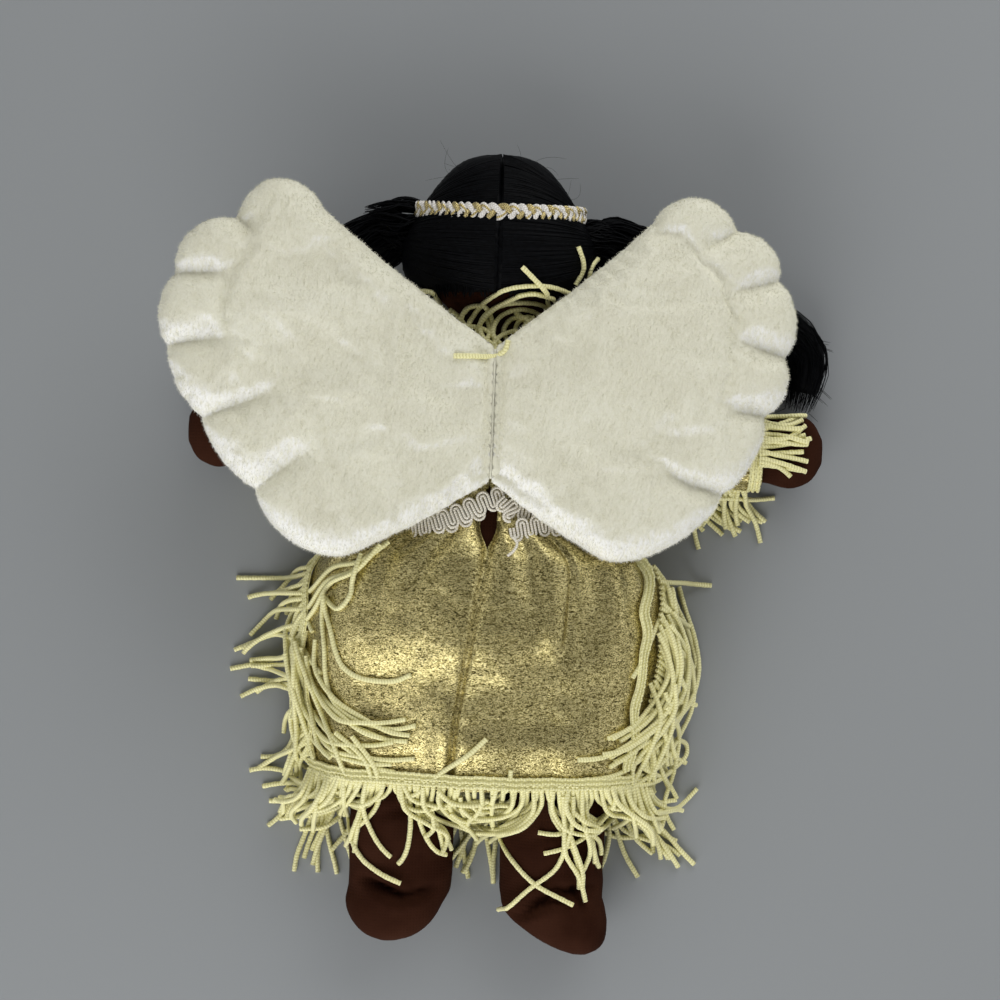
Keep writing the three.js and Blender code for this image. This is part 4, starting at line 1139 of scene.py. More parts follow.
tailSet = {
    "start": 38.5, "radius": 11, "endY": 66, "hairs": 330, "loose": 190, "hair": 0.42, "swell": 8,
    "girth": [1.05, 1.08, 1.05, 1, 0.98, 0.95, 0.92, 0.86, 0.72, 0.5], "reach": {"left": 108, "right": 129},
    "near": [0, 0.015, 0.03, 0.05, 0.075, 0.1], "core": 0.84, "stray": 0.13,
}


def tailRoute(reach):
    r, start, endY = tailSet["radius"], tailSet["start"], tailSet["endY"]
    tieY, tieZ = hairSet["tieY"], hairSet["tieZ"]
    drop = tieY - endY
    lie = r + 0.3
    return [Vector(p) for p in smoothPath([
        (start, tieY, tieZ), (start + r, tieY - drop * 0.035, tieZ - r * 0.36),
        (lerp(start, reach, 0.55), tieY - drop * 0.25, lie + r * 0.18),
        (reach - r * 0.7, tieY - drop * 0.52, lie), (reach, tieY - drop * 0.68, lie),
        (reach - r * 0.3, endY, lie - r * 0.18)], 9)]


def makeTail(side):
    name, sign = side + "Tail", signs[side]
    line = tailRoute(tailSet["reach"][side])
    run = runOf(line)

    def frameAt(t):
        want = t * run[-1]
        i = 0
        while i < len(line) - 2 and run[i + 1] < want:
            i += 1
        share = (want - run[i]) / (run[i + 1] - run[i])
        ahead = (line[i + 1] - line[i]).normalized()
        across = ahead.cross(Vector((0, 0, 1))).normalized()
        return line[i].lerp(line[i + 1], share), across, across.cross(ahead)

    def girthAt(t):
        g = tailSet["girth"]
        i = min(int(clamp(t) * (len(g) - 1)), len(g) - 2)
        grow = 0.55 + 0.45 * math.sqrt(ease(t * run[-1], -1, tailSet["swell"]))
        return lerp(g[i], g[i + 1], clamp(t) * (len(g) - 1) - i) * tailSet["radius"] * grow
    rng = random.Random(31 + sign)
    paths = []
    for i in range(tailSet["hairs"]):
        turn, far = rng.uniform(0, 2 * math.pi), math.sqrt(rng.uniform(0.35, 1.0))
        stop = rng.uniform(0.8, 1.0) if far > 0.8 else rng.uniform(0.88, 1.0)
        path = []
        for t in tailSet["near"] + spread(0.14, stop, 16):
            centre, across, up = frameAt(t)
            wave = turn + 0.9 * wobble(t * 3, i * 1.3, sign)
            wide = girthAt(t) * far * (1 + 0.3 * wobble(t * 5, i * 0.9, 2))
            p = centre + across * wide * math.cos(wave) + up * wide * math.sin(wave)
            path.append((sign * p.x, p.y, max(p.z, 0.5)))
        paths.append(path)
    loose = []
    for _ in range(tailSet["loose"]):  # loose ends along the tail
        t0 = rng.uniform(0.3, 1.0)
        centre, across, up = frameAt(t0)
        turn = rng.uniform(0, 2 * math.pi)
        out = across * math.cos(turn) + up * abs(math.sin(turn))
        base = centre + out * girthAt(t0) * 0.9
        length = rng.uniform(2, 5.5)
        loose.append([(sign * (base.x + out.x * length * t), base.y + (out.y - 0.6) * length * t,
                       max(base.z + (out.z - 0.3 * t) * length * t, 0.4)) for t in spread(0, 1, 6)])
    grid = []
    for t in tailSet["near"] + spread(0.14, 0.93, 26):
        centre, across, up = frameAt(t)
        ring = []
        for j in range(20):
            a = 2 * math.pi * j / 20
            p = centre + (across * math.cos(a) + up * math.sin(a)) * girthAt(t) * tailSet["core"]
            ring.append((sign * p.x, p.y, max(p.z, 0.6)))
        grid.append(ring)
    core = faceOut(newPiece(name + "Core", *loft(grid), hairStuff))
    bunch = hairCords(name + "Bunch", paths, tailSet["hair"], 3.0, 4, 0.8)
    stray = hairCords(name + "Stray", loose, tailSet["stray"], 1.2, 3, 0.6)
    return joined(name, [core, bunch, stray])


tails = {side: makeTail(side) for side in signs}

tieSet = {"x": 38.9, "pitch": 0.42, "radius": 4.2, "thread": 0.8, "turns": 4, "steps": 24}


def makeTie(side):  # covered elastic wound round the bunch
    path = []
    for i in range(tieSet["turns"] * tieSet["steps"] + 1):
        turn = 2 * math.pi * i / tieSet["steps"]
        path.append((signs[side] * (tieSet["x"] + tieSet["pitch"] * turn / (2 * math.pi)),
                     hairSet["tieY"] + tieSet["radius"] * math.cos(turn),
                     hairSet["tieZ"] + tieSet["radius"] * math.sin(turn)))
    return cords(side + "Tie", [path], faceStuff, tieSet["thread"], 0.8, 0.7, 0.06, 8)


ties = {side: makeTie(side) for side in signs}

# headband: flat plait of white and gold strands round the head
bandSet = {
    "y": 141.5, "half": 2.3, "rise": 0.62, "period": 9.0, "lift": 1.5, "thread": 0.62, "threads": 3,
    "gap": 0.78, "round": 34, "steps": 26, "droop": 3.0,
}


def bandSpot(angle, across, lift):
    bare = ease(-math.sin(angle), 0.40, 0.66)  # past the hairline the band lies on the forehead
    size = math.sqrt(1 - ((bandSet["y"] - headSet["y"]) / headSet["length"]) ** 2)
    over = stationAt(hairStations, bandSet["y"])
    skin = (headSet["half"] * size - 0.6, over[1], headSet["depth"] * size - 0.6)
    values = [lerp(a, b, bare) for a, b in zip(over[:3], skin)] + list(over[3:])
    x, z = sectionPoint(values, angle, bandSet["lift"] + lift, 0.75 + 0.3 * lift)
    return x, bandSet["y"] + across - bandSet["droop"] * max(math.sin(angle), 0), z


def makeBand():
    turns = round(2 * math.pi * bandSet["round"] / bandSet["period"])
    count = turns * bandSet["steps"]
    strands = []
    for strand in range(3):
        paths = []
        for k in range(bandSet["threads"]):
            path = []
            for i in range(count + 1):
                a = i / count
                phase = 2 * math.pi * (a * turns + strand / 3)
                across = bandSet["half"] * math.sin(phase) + (k - 1) * bandSet["gap"]
                lift = bandSet["rise"] * math.sin(2 * phase) + (0.2 if k == 1 else 0)
                path.append(bandSpot(2 * math.pi * a, across, lift))
            paths.append(path)
        strands.append(paths)
    white, gold, mixed = strands

    def plait(name, paths, material, stitch, swell):
        return cords(name, paths, material, bandSet["thread"], 0.9, stitch, swell, 6)
    return joined("headband", [
        plait("bandA", white, whiteStuff, 0.9, 0.1), plait("bandB", gold, goldStuff, 0.7, 0.12),
        plait("bandC", [mixed[0], mixed[2]], whiteStuff, 0.9, 0.1),
        plait("bandD", [mixed[1]], goldStuff, 0.7, 0.12),
    ])


headband = makeBand()
print("hair dressed")


# face: plain stitched eyes, brows, nose and a calm mouth
faceSet = {"eyeX": 12, "eyeY": 131, "eye": 3.1, "mouthY": 116, "mouth": 7, "spacing": 0.6}


def makeEye(side):
    name, sign = side + "Eye", signs[side]
    x0, y0, size, step = sign * faceSet["eyeX"], faceSet["eyeY"], faceSet["eye"], faceSet["spacing"]
    rows = []
    for i in range(9):
        y = lerp(-1, 1, i / 8) * size * 0.92
        half = math.sqrt(max(size ** 2 - y * y, 0.3))
        rows.append([headSpot(x0 + half * t, y0 + y, 0.55) for t in spread(-1, 1, 7)])
    lash = [headSpot(x0 + 4.6 * t, y0 + 2.4 + 1.8 * (1 - t * t), 0.6) for t in spread(-1, 1, 15)]
    brow = [headSpot(sign * (faceSet["eyeX"] + 5.5 * t), y0 + 8.5 - 1.6 * t * t, 0.45)
            for t in spread(-1, 1, 13)]
    glint = [headSpot(x0 + 0.9 + d, y0 + 1.0, 1.0) for d in (0, 0.5, 0.9)]
    return joined(name, [
        cords(name + "Fill", rows, faceStuff, 0.45, step, 0.8, 0.08),
        cords(name + "Lash", [lash, brow], faceStuff, 0.42, step, 1.6, 0.14),
        cords(name + "Glint", [glint], whiteStuff, 0.4, 0.4, 0.8, 0),
    ])


eyes = {side: makeEye(side) for side in signs}


def makeMouth():
    half, y0, step = faceSet["mouth"], faceSet["mouthY"], faceSet["spacing"]
    lines = [[headSpot(half * t, y0 - 2.2 * (1 - t * t) + rise * (1 - t * t), 0.5) for t in spread(-1, 1, 17)]
             for rise in (0.0, -0.8)]
    nose = [headSpot(1.6 * t, y0 + 7.5 - 0.9 * (1 - t * t), 0.4) for t in spread(-1, 1, 7)]
    lips = cords("lips", lines, lipStuff, 0.5, step, 1.7, 0.16)
    return joined("mouth", [lips, cords("nose", [nose], faceStuff, 0.4, step, 1.6, 0.1)])


mouth = makeMouth()
print("face stitched")


# fringe: rayon cords on woven header tapes, laid one over another
fringeSet = {
    "radius": 1.02, "hem": 50, "side": 46, "arm": 34, "cuff": 26, "neck": 36, "step": 1.8,
    "sink": 0.75, "tape": 5.0, "rounds": 9, "free": 6, "dropRounds": 14,
}
hipBend = {"startY": -36, "endY": -66, "inner": 20}
hemSides = ("leftOuter", "leftInner", "rightInner", "rightOuter")


def pileOn(ground):  # what lies under a spot, with the cords laid so far
    tops = {}

    def height(x, y):
        low = ground(x, y)
        return max(low, tops.get((round(x), round(y)), low))

    def add(path):
        for a, b in zip(path, path[1:]):
            for share in (0, 0.33, 0.67):
                x, y, z = (lerp(p, q, share) for p, q in zip(a, b))
                for dx in (-1, 0, 1):
                    for dy in (-1, 0, 1):
                        cell = (round(x) + dx, round(y) + dy)
                        top = z + fringeSet["radius"] * (fringeSet["sink"] if dx == 0 == dy else 0.1)
                        tops[cell] = max(tops.get(cell, -9), top)
    return height, add, ground


def layCord(rng, root, heading, length, pile, turns, wander=0.03, fall=0.9):
    # turns are distance along, spread and angle of each bend
    height, add, ground = pile
    r, step = fringeSet["radius"], fringeSet["step"]
    x, y, z = root
    path = [(x, y, z)]
    angle, slope, drift = heading, 0.15, 0.0
    for i in range(int(length / step)):
        s = i * step
        bend = sum(amount / (wide * 1.77) * bell(s - at, wide) for at, wide, amount in turns)
        drift = drift * 0.8 + rng.gauss(0, wander) * 0.35
        angle += (bend + drift) * step
        slope = min(slope + 0.2, fall)
        low = height(x + math.cos(angle) * step, y + math.sin(angle) * step) + r
        down = min(slope * step, max(z - low, 0))
        flat = math.sqrt(max(step * step - down * down, 0.3))
        x += math.cos(angle) * flat
        y += math.sin(angle) * flat
        z = max(height(x, y) + r, z - down)
        path.append((x, y, z))
    heights = [p[2] for p in path]
    least = [ground(p[0], p[1]) + r * 0.85 for p in path]
    for k in range(fringeSet["rounds"]):  # the last rounds of easing keep clear of the ground
        for i in range(1, len(path)):
            after = heights[min(i + 1, len(path) - 1)]
            eased = (heights[i - 1] + 2 * heights[i] + after) / 4
            heights[i] = eased if k < fringeSet["free"] else max(least[i], eased)
    path = [(p[0], p[1], h) for p, h in zip(path, heights)]
    add(path[3:])
    return path


def dropStrand(points, pile, under=None):  # a listed strand comes to rest on what lies below
    height, add, ground = pile
    r = fringeSet["radius"]
    flat = smoothPath([(x, y, 0) for x, y in points], 9)
    heights = [max(height(p[0], p[1]), under(p[0], p[1]) if under else 0) + r for p in flat]
    for _ in range(fringeSet["dropRounds"]):
        eased = heights[:]
        for k in range(len(flat)):
            eased[k] = (heights[max(k - 1, 0)] + 2 * heights[k] + heights[min(k + 1, len(flat) - 1)]) / 4
        heights = [max(e, ground(p[0], p[1]) + r * 0.9) for e, p in zip(eased, flat)]
    path = [(p[0], p[1], h) for p, h in zip(flat, heights)]
    add(path)
    return path


def bundle(rng, strands, pile, spreadBy=3.0):  # several strands that run together
    made = []
    for strand, times in strands:
        for k in range(times):
            dx, dy = (rng.gauss(0, spreadBy), rng.gauss(0, spreadBy)) if k else (0, 0)
            grow = rng.uniform(0.75, 1.12) if k else 1.0
            turn = rng.gauss(0, 0.13) if k else 0.0
            x0, y0 = strand[0]
            moved = []
            for x, y in strand:
                ex, ey = (x - x0) * grow, (y - y0) * grow
                moved.append((x0 + dx + ex * math.cos(turn) - ey * math.sin(turn),
                              y0 + dy + ex * math.sin(turn) + ey * math.cos(turn)))
            made.append(dropStrand(moved, pile))
    return made


def fringeCords(name, paths):
    return cords(name, paths, cordStuff, fringeSet["radius"], 0.9, cordLook["stitch"], 0.05, 6)


def tapeFor(name, spots, ups):  # woven tape: a thin ribbed strip with three chain-stitched lines
    n, half = len(spots), fringeSet["tape"] / 2
    frames = []
    for i in range(n):
        ahead = (Vector(spots[min(i + 1, n - 1)]) - Vector(spots[max(i - 1, 0)])).normalized()
        frames.append((Vector(spots[i]), Vector(ups[i]), ahead.cross(Vector(ups[i])).normalized()))
    grid = []
    for i, (spot, up, side) in enumerate(frames):
        rib = 0.12 * (i % 2)
        top = ((-1, 0.1), (-0.8, 0.55), (-0.4, 0.42 + rib), (0, 0.5 + rib), (0.4, 0.42 + rib), (0.8, 0.55),
               (1, 0.1))
        ring = [tuple(spot + side * (half * t) + up * h) for t, h in top]
        ring += [tuple(spot + side * (half * t) - up * 0.15) for t in (1, 0, -1)]
        grid.append(ring)
    strip = faceOut(newPiece(name + "Strip", *loft(grid), cordStuff))
    lines = []
    for t in (-0.82, 0.0, 0.82):
        lines.append([tuple(spot + side * (half * t + 0.28 * math.sin(i * 2.1)) + up * 0.75)
                      for i, (spot, up, side) in enumerate(frames)])
    return [strip, cords(name + "Chain", lines, cordStuff, 0.55, 0.7, 1.9, 0.3, 6)]


def fringe(name, paths, spots, ups):
    return joined(name, [fringeCords(name + "Cords", paths)] + tapeFor(name + "Tape", spots, ups))


def split(x, y):  # which leg a spot of the skirt follows, and whether it is near the middle
    edge = hipBend["inner"] * clamp((hipBend["startY"] - y) / (hipBend["startY"] - hipBend["endY"]))
    return ("left" if x < 0 else "right") + ("Inner" if abs(x) < edge else "Outer")


groundBack = groundUnder(*legs.values(), skirtBackLeft, skirtBackRight)
groundFloor = groundUnder()


def normalOn(angle, y, lift):
    a, b = Vector(skirtPoint(angle - 0.02, y, lift)), Vector(skirtPoint(angle + 0.02, y, lift))
    up = (b - a).cross(Vector((0, 1, 0)))
    up = -up if up.dot(Vector((math.cos(angle), 0, math.sin(angle)))) < 0 else up
    return tuple(up.normalized())


hemStrands = [
    ([(-54, -90), (-54, -100), (-52.6, -110), (-47, -121), (-39, -127), (-30, -131)], 1),
    ([(6, -92), (6, -104), (10, -114), (16, -122), (25, -130), (40, -137)], 1),
    ([(38, -92), (38, -104), (36, -113), (32, -123), (21, -132.5), (10, -144)], 1),
    ([(34, -92), (35, -104), (36, -116), (42, -126), (45, -136)], 1),
    ([(-31, -90), (-29, -100), (-20, -106), (-12, -111), (-14, -119)], 2),
    ([(-9, -90), (-9, -100), (-2, -109), (11, -108), (21, -102)], 3),
    ([(-22, -90), (-21, -99), (-13, -106), (-3, -110), (4, -116)], 2),
    ([(14, -90), (13, -98), (5, -104), (-5, -105), (-11, -101)], 3),
    ([(22, -90), (22, -99), (15, -107), (6, -111), (0, -118)], 2),
    ([(30, -90), (30, -98), (36, -106), (46, -108), (54, -105)], 2),
]
hemSet = {
    "tapeY": -85.6, "rootY": -87.6, "count": 92, "frontY": -92.5, "frontCount": 76, "frontHalf": 66,
    "frontTape": 64, "frontTapeY": -93.0, "underLegs": (11, 46),
}


def hemDrift(x):  # cords draw apart over each leg and gather between the legs and at the corners
    if x < -36:
        return -0.7
    if x < 0:
        return 1.0
    return -1.0 if x < 24 else 0.7


def makeBackHem():
    spots, ups = [], []
    for a in spread(math.pi * 0.05, math.pi * 0.95, 190):
        wave = 0.9 * wobble(a * 4, 2, 1) + 0.5 * wobble(a * 9, 5, 1)
        y = hemSet["tapeY"] - 1.6 * math.sin(a) + wave
        spots.append(skirtPoint(a, y, 1.3 + 0.5 * wobble(a * 6, 8, 1)))
        ups.append(normalOn(a, hemSet["tapeY"], 1.3))
    groups = {key: [] for key in hemSides}
    rng = random.Random(5)
    pile = pileOn(groundBack)
    order = list(range(hemSet["count"]))
    rng.shuffle(order)
    for i in order:
        a = lerp(math.pi * 0.055, math.pi * 0.945, (i + 0.5 + rng.uniform(-0.3, 0.3)) / hemSet["count"])
        root = skirtPoint(a, hemSet["rootY"], 1.7)
        sweep = hemDrift(root[0]) * rng.uniform(0.4, 1.7) + wobble(i * 0.21, 3.1, 0) * 1.2
        if rng.random() < 0.25:
            sweep = rng.uniform(-1.9, 1.9)
        at = rng.uniform(10, 17)
        turns = [(at, rng.uniform(6, 10), clamp(sweep, -2.0, 2.0)),
                 (rng.uniform(30, 44), 9, rng.gauss(0, 0.8) - 0.35 * sweep)]
        heading = -math.pi / 2 + 0.3 * math.cos(a) + rng.gauss(0, 0.07)
        path = layCord(rng, root, heading, fringeSet["hem"] * rng.uniform(0.7, 1.12), pile, turns)
        groups[split(root[0], root[1])].append(path)
    for path in bundle(rng, hemStrands, pile):
        groups[split(path[0][0], path[0][1])].append(path)
    made = {key: fringeCords("hemFringeBack" + titled(key), paths) for key, paths in groups.items()}
    tapes = {key: [] for key in hemSides}
    for i, spot in enumerate(spots):
        tapes[split(spot[0], spot[1])].append(i)
    for key, ids in tapes.items():
        part = slice(max(ids[0] - 1, 0), min(ids[-1] + 2, len(spots)))
        made[key] = joined(made[key].name, [made[key]] + tapeFor("hemTape" + key, spots[part], ups[part]))
    return made


def makeFrontHem():
    groups = {key: [] for key in hemSides}
    rng = random.Random(8)
    pile = pileOn(groundFloor)
    y = hemSet["frontY"]
    for i in range(hemSet["frontCount"]):
        x = lerp(-hemSet["frontHalf"], hemSet["frontHalf"], (i + 0.5) / hemSet["frontCount"])
        if hemSet["underLegs"][0] < abs(x) < hemSet["underLegs"][1]:  # hidden there
            continue
        out = math.copysign(1, x)
        heading = -math.pi / 2 + out * (0.3 if abs(x) > 30 else 0.0) + rng.gauss(0, 0.22)
        turns = [(rng.uniform(12, 24), 8, out * rng.uniform(-0.5, 1.3) if abs(x) > 30 else rng.gauss(0, 0.2))]
        path = layCord(rng, (x, y, 1.1), heading, fringeSet["hem"] * rng.uniform(0.7, 0.98), pile, turns)
        groups[split(x, y)].append(path)
    made = {}
    inner, outer = hipBend["inner"], hemSet["frontTape"]
    ends = dict(zip(hemSides, ((-outer, -inner), (-inner, 0), (0, inner), (inner, outer))))
    for key, paths in groups.items():
        cordPiece = fringeCords("hemFringeFront" + titled(key), paths)
        x0, x1 = ends[key]
        spots = [(x, hemSet["frontTapeY"], 0.55) for x in spread(x0, x1, int(abs(x1 - x0)))]
        tape = tapeFor("frontTape" + key, spots, [(0, 0, 1)] * len(spots))
        made[key] = joined(cordPiece.name, [cordPiece] + tape)
    return made


hemBack = makeBackHem()
hemFront = makeFrontHem()

sideStrands = {
    "left": [
        ([(-43, 5), (-53, -5), (-64, -10), (-71, -20), (-77, -28), (-80, -39), (-77, -52)], 3),
        ([(-50, 2), (-53, -8), (-54, -15), (-59, -20.5), (-65, -16)], 1),
        ([(-65, -17), (-65.4, -25), (-64, -36), (-63, -48), (-60, -57), (-51, -64), (-36, -67.5),
          (-26, -65.5)], 2),
        ([(-75, -36), (-73.6, -49), (-64, -60), (-51, -66.5), (-38, -71.5), (-29, -72)], 4),
        ([(-76, -44), (-75, -55), (-68, -69), (-60, -77), (-49, -79), (-36, -80), (-26, -79)], 4),
        ([(-78, -38), (-77, -47), (-73, -65), (-69, -80), (-66, -94), (-59, -101)], 5),
        ([(-58, -70), (-46, -80), (-43, -92), (-49, -99), (-59, -97.5), (-65, -91)], 2),
    ],
    "right": [
        ([(74, -8), (77.3, -19), (82, -33), (83.6, -47), (79, -60), (66.5, -71), (54, -78)], 4),
        ([(73, -24), (76.7, -33), (78.4, -46), (72.4, -59), (64, -69), (52, -76)], 4),
        ([(76, -20), (81, -29), (85, -42), (83, -58), (73, -71), (58, -82), (46, -85)], 4),
        ([(60, -84), (63, -88.5), (75, -86.5), (85, -80), (86, -74), (81, -71)], 1),
        ([(74, -50), (78, -62), (74, -76), (68, -90), (70, -100)], 4),
    ],
}
sideSet = {  # angle of the cords' roots and of the tape
    "left": {"seam": math.pi - 0.26, "tape": math.pi - 0.26}, "right": {"seam": 0.46, "tape": 0.62},
    "count": 40,
}


def makeSideFringe(side):
    sign = signs[side]
    rng = random.Random(14 + sign)
    seam, edge = sideSet[side]["seam"], sideSet[side]["tape"]
    ys = spread(4, -82, 100)
    spots = [skirtPoint(edge - sign * 0.25 * ease(y, -20, 4) + 0.02 * math.sin(y * 0.3), y, 1.1) for y in ys]
    ups = [normalOn(edge, y, 1.0) for y in ys]
    pile = pileOn(groundBack)
    paths = []
    out = 0 if sign > 0 else math.pi
    order = list(range(sideSet["count"]))
    rng.shuffle(order)
    for i in order:
        y = lerp(2, -82, (i + 0.5) / sideSet["count"])
        root = skirtPoint(seam - sign * (0.06 + 0.25 * ease(y, -20, 4)), y, 1.6)
        length = fringeSet["side"] * rng.uniform(0.7, 1.05)
        apart = 0.36 if sign < 0 else 0.16 + 0.34 * bell(y + 58, 16)
        if rng.random() < apart:  # stands off to the side
            heading = out - sign * rng.uniform(-0.2, 0.7)
            turns = [(rng.uniform(8, 22), 8, -sign * rng.uniform(-0.5, 1.0))]
        else:  # runs down along the edge
            heading = -math.pi / 2 + sign * rng.uniform(0.5, 0.95)
            turns = [(rng.uniform(7, 12), 7, -sign * rng.uniform(0.5, 0.95)),
                     (rng.uniform(28, 40), 8, rng.gauss(0, 0.5))]
        paths.append(layCord(rng, root, heading, length, pile, turns, 0.02))
    paths += bundle(rng, sideStrands[side], pile)
    return fringe(side + "SideFringe", paths, spots, ups)


sideFringes = {side: makeSideFringe(side) for side in signs}

underarmSet = {
    "count": 24, "start": 74, "rootY": 34.0, "tapeY": 33.7, "tapeZ": 12.6,
    "strand": [(90, 29), (100, 29.6), (110, 29.4), (119, 30.5)],
}


def makeArmFringe(side):
    sign = signs[side]
    rng = random.Random(21 + sign)
    cuff = armSet["reach"][side] - armSet["cuff"]
    pile = pileOn(groundFloor)
    paths = []
    for i in range(underarmSet["count"]):
        s = lerp(underarmSet["start"], cuff - 5, (i + 0.5) / underarmSet["count"])
        root = (sign * s, underarmSet["rootY"], rng.uniform(11, 14))
        heading = -math.pi / 2 + (rng.gauss(0.2, 0.3) if sign > 0 else rng.uniform(0.5, 0.9))
        turns = [(rng.uniform(10, 22), 7, rng.gauss(0, 0.8) if sign > 0 else rng.uniform(0, 0.8))]
        length = fringeSet["arm"] * rng.uniform(0.75, 1.1)
        paths.append(layCord(rng, root, heading, length, pile, turns, 0.03, 1.0))
    if sign > 0:  # one strand lies along the arm
        paths.append(dropStrand(underarmSet["strand"], pile))
    spots = [(sign * s, underarmSet["tapeY"], underarmSet["tapeZ"])
             for s in spread(underarmSet["start"] - 1, cuff - 4, 40)]
    return fringe(side + "UnderarmFringe", paths, spots, [(0, -1, 0)] * len(spots))


underarms = {side: makeArmFringe(side) for side in signs}
cuffSet = {
    "count": 15, "endY": 64, "half": 16.6, "depth": 14.2,
    "left": {"share": 0.6, "startY": 36}, "right": {"share": 0.95, "startY": 43},
}


def makeCuff(side):
    sign = signs[side]
    rng = random.Random(41 + sign)
    cuff = armSet["reach"][side] - armSet["cuff"]
    ground = groundUnder(arms[side], sleeves[side])
    pile = pileOn(ground)
    cordLength = fringeSet["cuff"] * cuffSet[side]["share"]
    paths = []
    for i in range(cuffSet["count"]):
        y = lerp(cuffSet[side]["startY"], cuffSet["endY"], (i + 0.5) / cuffSet["count"])
        root = (sign * (cuff - 2), y, ground(sign * (cuff - 2), y) + 1.2)
        heading = (0 if sign > 0 else math.pi) + rng.gauss(0, 0.14)
        turns = [(rng.uniform(8, 18), 6, rng.gauss(0, 0.35))]
        paths.append(layCord(rng, root, heading, cordLength * rng.uniform(0.75, 1.05), pile, turns, 0.02))
    spots, ups = [], []
    for a in spread(0.1, math.pi - 0.1, 50):
        y = armSet["y"] - cuffSet["half"] * signed(math.cos(a), power)
        spots.append((sign * (cuff - 3), y, armSet["low"] + cuffSet["depth"] * signed(math.sin(a), power)))
        ups.append((0, -math.cos(a), math.sin(a)))
    return fringe(side + "CuffFringe", paths, spots, ups)


cuffs = {side: makeCuff(side) for side in signs}

neckStrands = [  # the last one lies over the wings
    [(-8, 86), (-11, 92), (-10.4, 96.5), (-4.4, 104), (6, 108.8), (20.4, 110.2), (30, 108)],
    [(26, 97), (21, 104), (19.6, 107.5), (15, 112), (9.4, 117)],
    [(-14, 90), (-17, 96), (-20.4, 101.5), (-26, 106.7), (-34, 107.5)],
    [(-3, 85), (-10, 88), (-14.5, 94), (-12, 101), (-5, 102), (-1.5, 96), (-3, 90), (-6, 84)],
    [(2, 86), (-5, 90), (-6, 97), (0, 102), (8, 104), (18, 104), (27, 100)],
    [(4, 86), (-1, 91), (1, 98), (8, 101.5), (16, 101), (24, 97)],
    [(-6, 84), (-8, 91), (-4, 98.5), (4, 104), (14, 107), (26, 105)],
    [(6, 88), (3, 93), (6, 98), (12, 98), (13, 93), (9, 90), (4, 86)],
    [(13, 85), (8, 91), (9, 97), (15, 99), (22, 95)],
    [(-2, 84), (1, 90), (7, 93), (12, 90)],
    [(31, 112), (34, 119), (31.4, 126.7)],
    [(36, 114), (37.5, 120), (40, 124)],
    [(5, 88), (3.5, 83.5), (-2, 81.4), (-9, 81.0), (-16, 80.7)],
]
neckSet = {"y": 83, "count": 9}


def makeNeckFringe():
    rng = random.Random(61)
    below = [torso, bodiceBackLeft, bodiceBackRight, neck, head, *hair.values(), *tails.values()]
    pile = pileOn(groundUnder(*below))
    onWings = groundUnder(*wings.values())
    section = stationAt(torsoStations, neckSet["y"])
    paths = []
    for i in range(neckSet["count"]):
        a = math.pi * lerp(0.80, 0.20, (i + 0.5) / neckSet["count"])
        x, z = sectionPoint(section, a, 3.4)
        turn = rng.choice((-1, 1))
        heading = math.pi / 2 + turn * rng.uniform(0.0, 0.9)
        turns = [(rng.uniform(8, 15), rng.uniform(6, 10), -turn * rng.uniform(1.2, 2.6)),
                 (26, 8, rng.gauss(0, 0.6))]
        length = fringeSet["neck"] * rng.uniform(0.5, 0.7)
        root = (x, neckSet["y"], z + rng.uniform(0, 3))
        paths.append(layCord(rng, root, heading, length, pile, turns, 0.03, 0.45))
    for strand in neckStrands:
        paths.append(dropStrand(strand, pile, onWings if strand is neckStrands[-1] else None))
    spots, ups = [], []
    for a in spread(math.pi * 0.14, math.pi * 0.86, 70):
        x, z = sectionPoint(section, a, 2.6)
        spots.append((x, neckSet["y"] + 0.5, z))
        ups.append((math.cos(a), 0.3, math.sin(a)))
    return fringe("neckFringe", paths, spots, ups)


neckFringe = makeNeckFringe()
print("fringe laid")


# scroll braid: pairs of cords in close upright bends along the waist
gimpSet = {"bend": 1.45, "half": 3.5, "thread": 0.56, "gap": 0.7, "lift": 4.3}


def onWaist(places, count, raised=0.0):  # a line on the back of the body, over places seen from above
    spots = []
    lift = gimpSet["lift"] + raised
    for x, y in places:
        values = stationAt(torsoStations, y)
        half, up = values[0] + lift, values[1] + lift
        c = clamp(abs(x) / half, 0, 0.999) ** (1 / power)
        spots.append((x, y, bodySet["mid"] + up * math.sqrt(1 - c * c) ** power))
    return [Vector(p) for p in smoothPath(spots, count)]


def roundWaist(a0, a1, y):  # a level run of braid round the body
    spots = []
    for angle in spread(a0, a1, 60):
        x, z = sectionPoint(stationAt(torsoStations, y), angle, gimpSet["lift"], 0.9)
        spots.append(Vector((x, y, z)))
    return spots


def braidCords(name, paths):
    return cords(name, paths, braidStuff, gimpSet["thread"], 0.5, 0.9, 0.1, 6)


